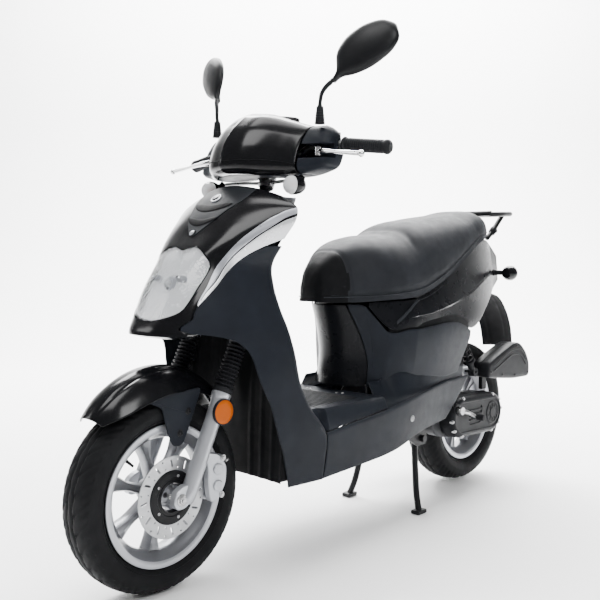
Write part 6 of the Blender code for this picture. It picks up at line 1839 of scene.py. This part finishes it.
def kick_starter():
    """The kick lever: splined boss with pinch bolt, bent arm and folding pedal with a ribbed rubber."""
    arm = Shape()
    arm.turned([(-0.048, 0.0085), (-0.0060, 0.0085), (-0.0060, 0.0126), (-0.0045, 0.0130),
                (0.0085, 0.0130), (0.0100, 0.0118)], KICK_PIVOT, X_AXIS, 36)
    arm.tube(smooth_path([KICK_PIVOT + X_AXIS * 0.002, (0.165, 0.430, 0.282), (0.167, 0.472, 0.264)], 24),
             [mix(0.0078, 0.0060, i / 23) for i in range(24)], 20)
    arm.tube([(0.160, 0.474, 0.263), (0.176, 0.474, 0.263)], 0.0088, 24)
    piece("kick_arm", arm, "steel", "kick", "kick_lever")
    pedal = Shape()
    profile = [(0.0, 0.0070), (0.0, 0.0100)]
    for k in range(6):
        x = 0.0010 + 0.0040 * k
        profile += [(x, 0.0092), (x + 0.0008, 0.0104), (x + 0.0026, 0.0104), (x + 0.0034, 0.0092)]
    profile += [(0.0250, 0.0100), (0.0256, 0.0080), (0.0258, 0.0030)]
    pedal.turned(profile, (0.1740, 0.474, 0.263), X_AXIS, 32)
    piece("kick_pedal", pedal, "grip", "kick")
    piece("kick_bolt", Shape().hex_nut(KICK_PIVOT + Vector((0.004, -0.0118, 0.002)), (0, -1, 0.1), 0.0045,
                                       0.0045), "steel", "kick")


def air_box():
    """The air filter box with two curved ribs, a lid seam, screws, an intake and a snout."""
    outline = side_outline(0.0750, ((0.602, 0.385), (0.606, 0.420), (0.650, 0.438), (0.780, 0.480),
                                    (0.832, 0.478), (0.880, 0.440), (0.905, 0.400), (0.905, 0.349),
                                    (0.790, 0.352), (0.640, 0.368), (0.612, 0.372)), 0.022, 6)
    rings = []
    for x, drawn in ((0.0750, 0.0080), (0.0768, 0.0030), (0.0820, 0.0), (0.1060, 0.0), (0.1066, 0.0012),
                     (0.1078, 0.0012), (0.1084, 0.0), (0.1330, 0.0), (0.1375, 0.0028), (0.1396, 0.0075),
                     (0.1399, 0.0130)):
        ring = inset(outline, X_AXIS, drawn)
        rings.append([Vector((x, p.y, p.z)) for p in ring])
    box = Shape()
    box.rings(rings)
    box.box((0.0800, 0.640, 0.325), (0.0950, 0.670, 0.380), 0.003)
    piece("air_box_shell", box, "cover", "swing", "air_box", sharp=34.0)
    ribs = Shape()
    for shift in (0.0, 0.018):
        line = smooth_path([(0.1392, 0.640, 0.412 - shift), (0.1394, 0.700, 0.434 - shift),
                            (0.1394, 0.775, 0.456 - shift), (0.1394, 0.830, 0.450 - shift),
                            (0.1392, 0.872, 0.415 - shift)], 30)
        ribs.tube(line, 0.0030, 10)
    piece("air_box_ribs", ribs, "cover", "swing")
    screws = Shape()
    for y, z in ((0.622, 0.392), (0.700, 0.376), (0.790, 0.366), (0.888, 0.366), (0.800, 0.468)):
        screws.bolt((0.1396, y, z), X_AXIS, 0.0040)
    piece("air_box_screws", screws, "paint", "swing")


def muffler():
    """The exhaust: header pipe with flange, hollow can with bands, heat shield, bracket and bolts."""
    head = Vector((0, 1, 0.12)).normalized()
    centre = Vector((-0.150, 0.490, 0.262))
    can = Shape()
    can.turned([(0.000, 0.0300), (0.003, 0.0360), (0.012, 0.0450), (0.022, 0.0492), (0.036, 0.0512),
                (0.038, 0.0520), (0.046, 0.0520), (0.048, 0.0508), (0.262, 0.0508), (0.264, 0.0520),
                (0.270, 0.0520), (0.284, 0.0485), (0.292, 0.0455), (0.3000, 0.0300), (0.3000, 0.0110),
                (0.2970, 0.0110), (0.2970, 0.0280), (0.2890, 0.0435), (0.2700, 0.0490), (0.0400, 0.0490),
                (0.0140, 0.0435), (0.0030, 0.0280)], centre, head, 64)
    pipe = smooth_path([(-0.020, 0.150, 0.2425), (-0.020, 0.150, 0.215), (-0.040, 0.180, 0.184),
                        (-0.060, 0.280, 0.180), (-0.068, 0.355, 0.184), (-0.085, 0.405, 0.215),
                        (-0.118, 0.455, 0.250), (-0.148, 0.505, 0.264)], 70)
    can.tube(pipe, 0.0118, 24)
    plate = side_outline(-0.1040, ((0.560, 0.275), (0.560, 0.300), (0.350, 0.300), (0.350, 0.260)), 0.008,
                         5)
    can.prism(plate, (0.0050, 0, 0), 0.0008)
    piece("exhaust_body", can, "paint", "swing", "muffler", sharp=30.0)
    shield = Shape()
    rows = []
    across = X_AXIS.cross(head)
    for along in steps(0.075, 0.225, 24):
        row = []
        for a in steps(math.radians(118), math.radians(232), 18):
            reach = 0.0514 + 0.0004 * math.cos((a - math.radians(175)) * 1.4)
            row.append(centre + head * along + (X_AXIS * math.cos(a) + across * math.sin(a)) * reach)
        rows.append(row)
    lining = [[p - (p - centre - head * (p - centre).dot(head)).normalized() * 0.0022 for p in row]
              for row in rows]
    shield.rings([row + low[::-1] for row, low in zip(rows, lining)])
    piece("heat_shield", shield, "steel", "swing")
    bolts = Shape()
    for y, z in ((0.372, 0.284), (0.520, 0.287)):
        bolts.hex_nut((-0.1040, y, z), (-1, 0, 0), 0.0060, 0.0055)
    for x in (-0.042, 0.002):
        bolts.hex_nut((x, 0.150, 0.2360), (0, 0, -1), 0.0045, 0.0050)
    corners = ((-0.054, 0.142), (-0.054, 0.158), (0.014, 0.158), (0.014, 0.142))
    flange = rounded([Vector((x, y, 0.2375)) for x, y in corners], 0.006, 5)
    bolts.prism(flange, (0, 0, 0.0048), 0.0006)
    piece("exhaust_fittings", bolts, "steel", "swing")


def shock():
    """The rear shock: eyes, tube with its spring seat, rod with its seat, and the coil."""
    down = (SHOCK_BOTTOM - SHOCK_TOP).normalized()
    length = (SHOCK_BOTTOM - SHOCK_TOP).length
    body = Shape()
    body.turned([(0.012, 0.0100), (0.0145, 0.0160), (0.0240, 0.0196), (0.0320, 0.0200), (0.0328, 0.0150),
                 (0.0940, 0.0138), (0.0950, 0.0124)], SHOCK_TOP, down, 40)
    body.turned([(-0.0120, 0.0160), (0.0120, 0.0160), (0.0120, 0.0052), (-0.0120, 0.0052)], SHOCK_TOP,
                X_AXIS, 36, loop=True)
    piece("shock_cylinder", body, "paint", "shock_body", "shock_body")
    rod = Shape()
    rod.turned([(0.0840, 0.0062), (0.1500, 0.0062), (0.1504, 0.0190), (0.1520, 0.0200), (0.1580, 0.0200),
                (0.1620, 0.0120), (length - 0.0080, 0.0110)], SHOCK_TOP, down, 40)
    rod.turned([(-0.0110, 0.0150), (0.0110, 0.0150), (0.0110, 0.0052), (-0.0110, 0.0052)], SHOCK_BOTTOM,
               X_AXIS, 36, loop=True)
    piece("shock_piston", rod, "cover", "shock_rod", "shock_rod")
    start, end = 0.0345, 0.1488
    across = down.orthogonal().normalized()
    side = down.cross(across)
    coil = []
    count = 190
    wraps = 6.5
    for i in range(count + 1):
        t = i / count
        along = mix(start, end, clamp((t - 0.06) / 0.88))
        a = 2 * math.pi * wraps * t
        coil.append(SHOCK_TOP + down * along + (across * math.cos(a) + side * math.sin(a)) * 0.0172)
    spring = piece("shock_spring", Shape().tube(coil, 0.0027, 12), "paint", "shock_body")
    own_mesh(spring)


def stand():
    """The centre stand: cross tube, bent legs and foot pads."""
    shape = Shape()
    shape.tube([(-0.112, 0.230, 0.225), (-0.111, 0.230, 0.225), (0.111, 0.230, 0.225),
                (0.112, 0.230, 0.225)], [0.0130, 0.0138, 0.0138, 0.0130], 32)
    for side in (-1, 1):
        shape.tube(smooth_path([(side * 0.096, 0.228, 0.213), (side * 0.108, 0.218, 0.124),
                                (side * 0.124, 0.206, 0.040), (side * 0.135, 0.200, 0.008)], 30), 0.0098,
                   24)
        low, high = sorted((side * 0.1200, side * 0.1500))
        shape.box((low, 0.1775, 0.0004), (high, 0.2225, 0.0126), 0.0040)
    piece("stand_legs", shape, "paint", "stand", "centre_stand")


def carried():
    """The frame nodes that are shown as they are, with finer materials."""
    for node, look in (("main_frame", "paint"), ("storage_tub", "dark"), ("fuel_tank", "paint")):
        refinish(node, look)


# Scene
CAMERA_PLACE = Vector((1.523, -1.887, 0.784))
CAMERA_AHEAD = Vector((-0.669, 0.742, -0.054))
CAMERA_ROLL = math.radians(0.35)


def studio():
    """A pale floor that curves up behind."""
    start, bend = 3.0, 2.0
    profile = [(y, 0.0) for y in steps(-7.0, start, 12)]
    profile += [(start + bend * math.sin(a), bend - bend * math.cos(a))
                for a in steps(0, math.pi / 2, 24)[1:]]
    profile += [(start + bend, 7.0)]
    turn = Quaternion(Z_AXIS, math.atan2(-CAMERA_AHEAD.x, CAMERA_AHEAD.y))
    rows = [[turn @ Vector((x, y, z)) for x in steps(-9, 9, 10)] for y, z in profile]
    mesh = skin_mesh("studio_floor", rows)
    mesh.shade_smooth()
    material = bpy.data.materials.new("studio_paper")
    material.use_nodes = True
    shader = material.node_tree.nodes["Principled BSDF"]
    shader.inputs["Base Color"].default_value = (0.90, 0.90, 0.90, 1)
    shader.inputs["Roughness"].default_value = 0.75
    mesh.materials.append(material)
    backdrop = bpy.data.objects.new("studio_floor", mesh)
    bpy.context.scene.collection.objects.link(backdrop)


def light(name, spot, aim, power, size):
    """A soft rectangular lamp that faces a point."""
    lamp = bpy.data.lights.new(name, "AREA")
    lamp.energy = power
    lamp.shape = "RECTANGLE"
    lamp.size, lamp.size_y = size
    obj = bpy.data.objects.new(name, lamp)
    obj.location = spot
    obj.rotation_euler = (Vector(aim) - Vector(spot)).to_track_quat("-Z", "Y").to_euler()
    bpy.context.scene.collection.objects.link(obj)


def lighting():
    """Key light from the front left, fill from the other side, a top panel and a bright surround."""
    light("key", (3.2, -1.2, 3.0), (0, 0, 0.6), 105, (1.6, 1.6))
    light("fill", (-2.8, -3.0, 2.2), (0, -0.3, 0.6), 35, (1.4, 1.4))
    light("top", (-0.4, 0.9, 4.4), (-0.2, 0.2, 0.3), 130, (2.6, 2.6))
    light("front_floor", (0.5, -2.2, 4.2), (0.3, -1.7, 0.0), 125, (2.0, 2.0))
    light("backdrop", (-1.8, 2.4, 4.4), (-3.6, 4.0, 0.0), 900, (3.0, 3.0))
    light("floor_left", (-3.3, 0.9, 4.2), (-3.3, 0.9, 0.0), 480, (2.4, 2.4))
    light("floor_right", (-0.4, 3.6, 4.2), (-0.6, 3.4, 0.0), 480, (2.4, 2.4))
    world = bpy.data.worlds.new("studio")
    world.use_nodes = True
    sky = world.node_tree.nodes["Background"]
    sky.inputs["Color"].default_value = (1, 1, 1, 1)
    sky.inputs["Strength"].default_value = 0.26
    bpy.context.scene.world = world


def camera():
    """The camera, low at the front left, looking back along the machine."""
    lens = bpy.data.cameras.new("camera")
    lens.lens = 49.48
    lens.sensor_width = 36.0
    obj = bpy.data.objects.new("camera", lens)
    bpy.context.scene.collection.objects.link(obj)
    ahead = CAMERA_AHEAD.normalized()
    level = ahead.cross(Z_AXIS).normalized()
    upright = level.cross(ahead)
    right = level * math.cos(CAMERA_ROLL) + upright * math.sin(CAMERA_ROLL)
    up = upright * math.cos(CAMERA_ROLL) - level * math.sin(CAMERA_ROLL)
    matrix = Matrix((right, up, -ahead)).transposed().to_4x4()
    matrix.translation = CAMERA_PLACE
    obj.matrix_world = matrix
    bpy.context.scene.camera = obj


make_looks()
front_cowl()
crown_details()
stripes()
headlight()
leg_shields()
knee_shield()
arch_liner()
floor()
skirts()
liners()
seat_box()
seat()
seat_trim()
rear_mudguard()
tail_lamp()
rear_signals()
luggage_rack()
handlebar_cowl()
pods()
grips()
levers()
buttons()
mirrors()
front_signals()
steering_stem()
gaiters()
fork_legs()
fender()
brake()
tyre("front", FRONT_AXLE, FRONT_TYRE_RADIUS, FRONT_TYRE_WIDTH, "front_wheel")
rim("front", FRONT_AXLE, "front_wheel", math.radians(18))
tyre("rear", REAR_AXLE, REAR_TYRE_RADIUS, REAR_TYRE_WIDTH, "rear_wheel")
rim("rear", REAR_AXLE, "rear_wheel", math.radians(8))
engine()
cvt_cover()
kick_starter()
air_box()
muffler()
shock()
stand()
carried()
studio()
lighting()
camera()
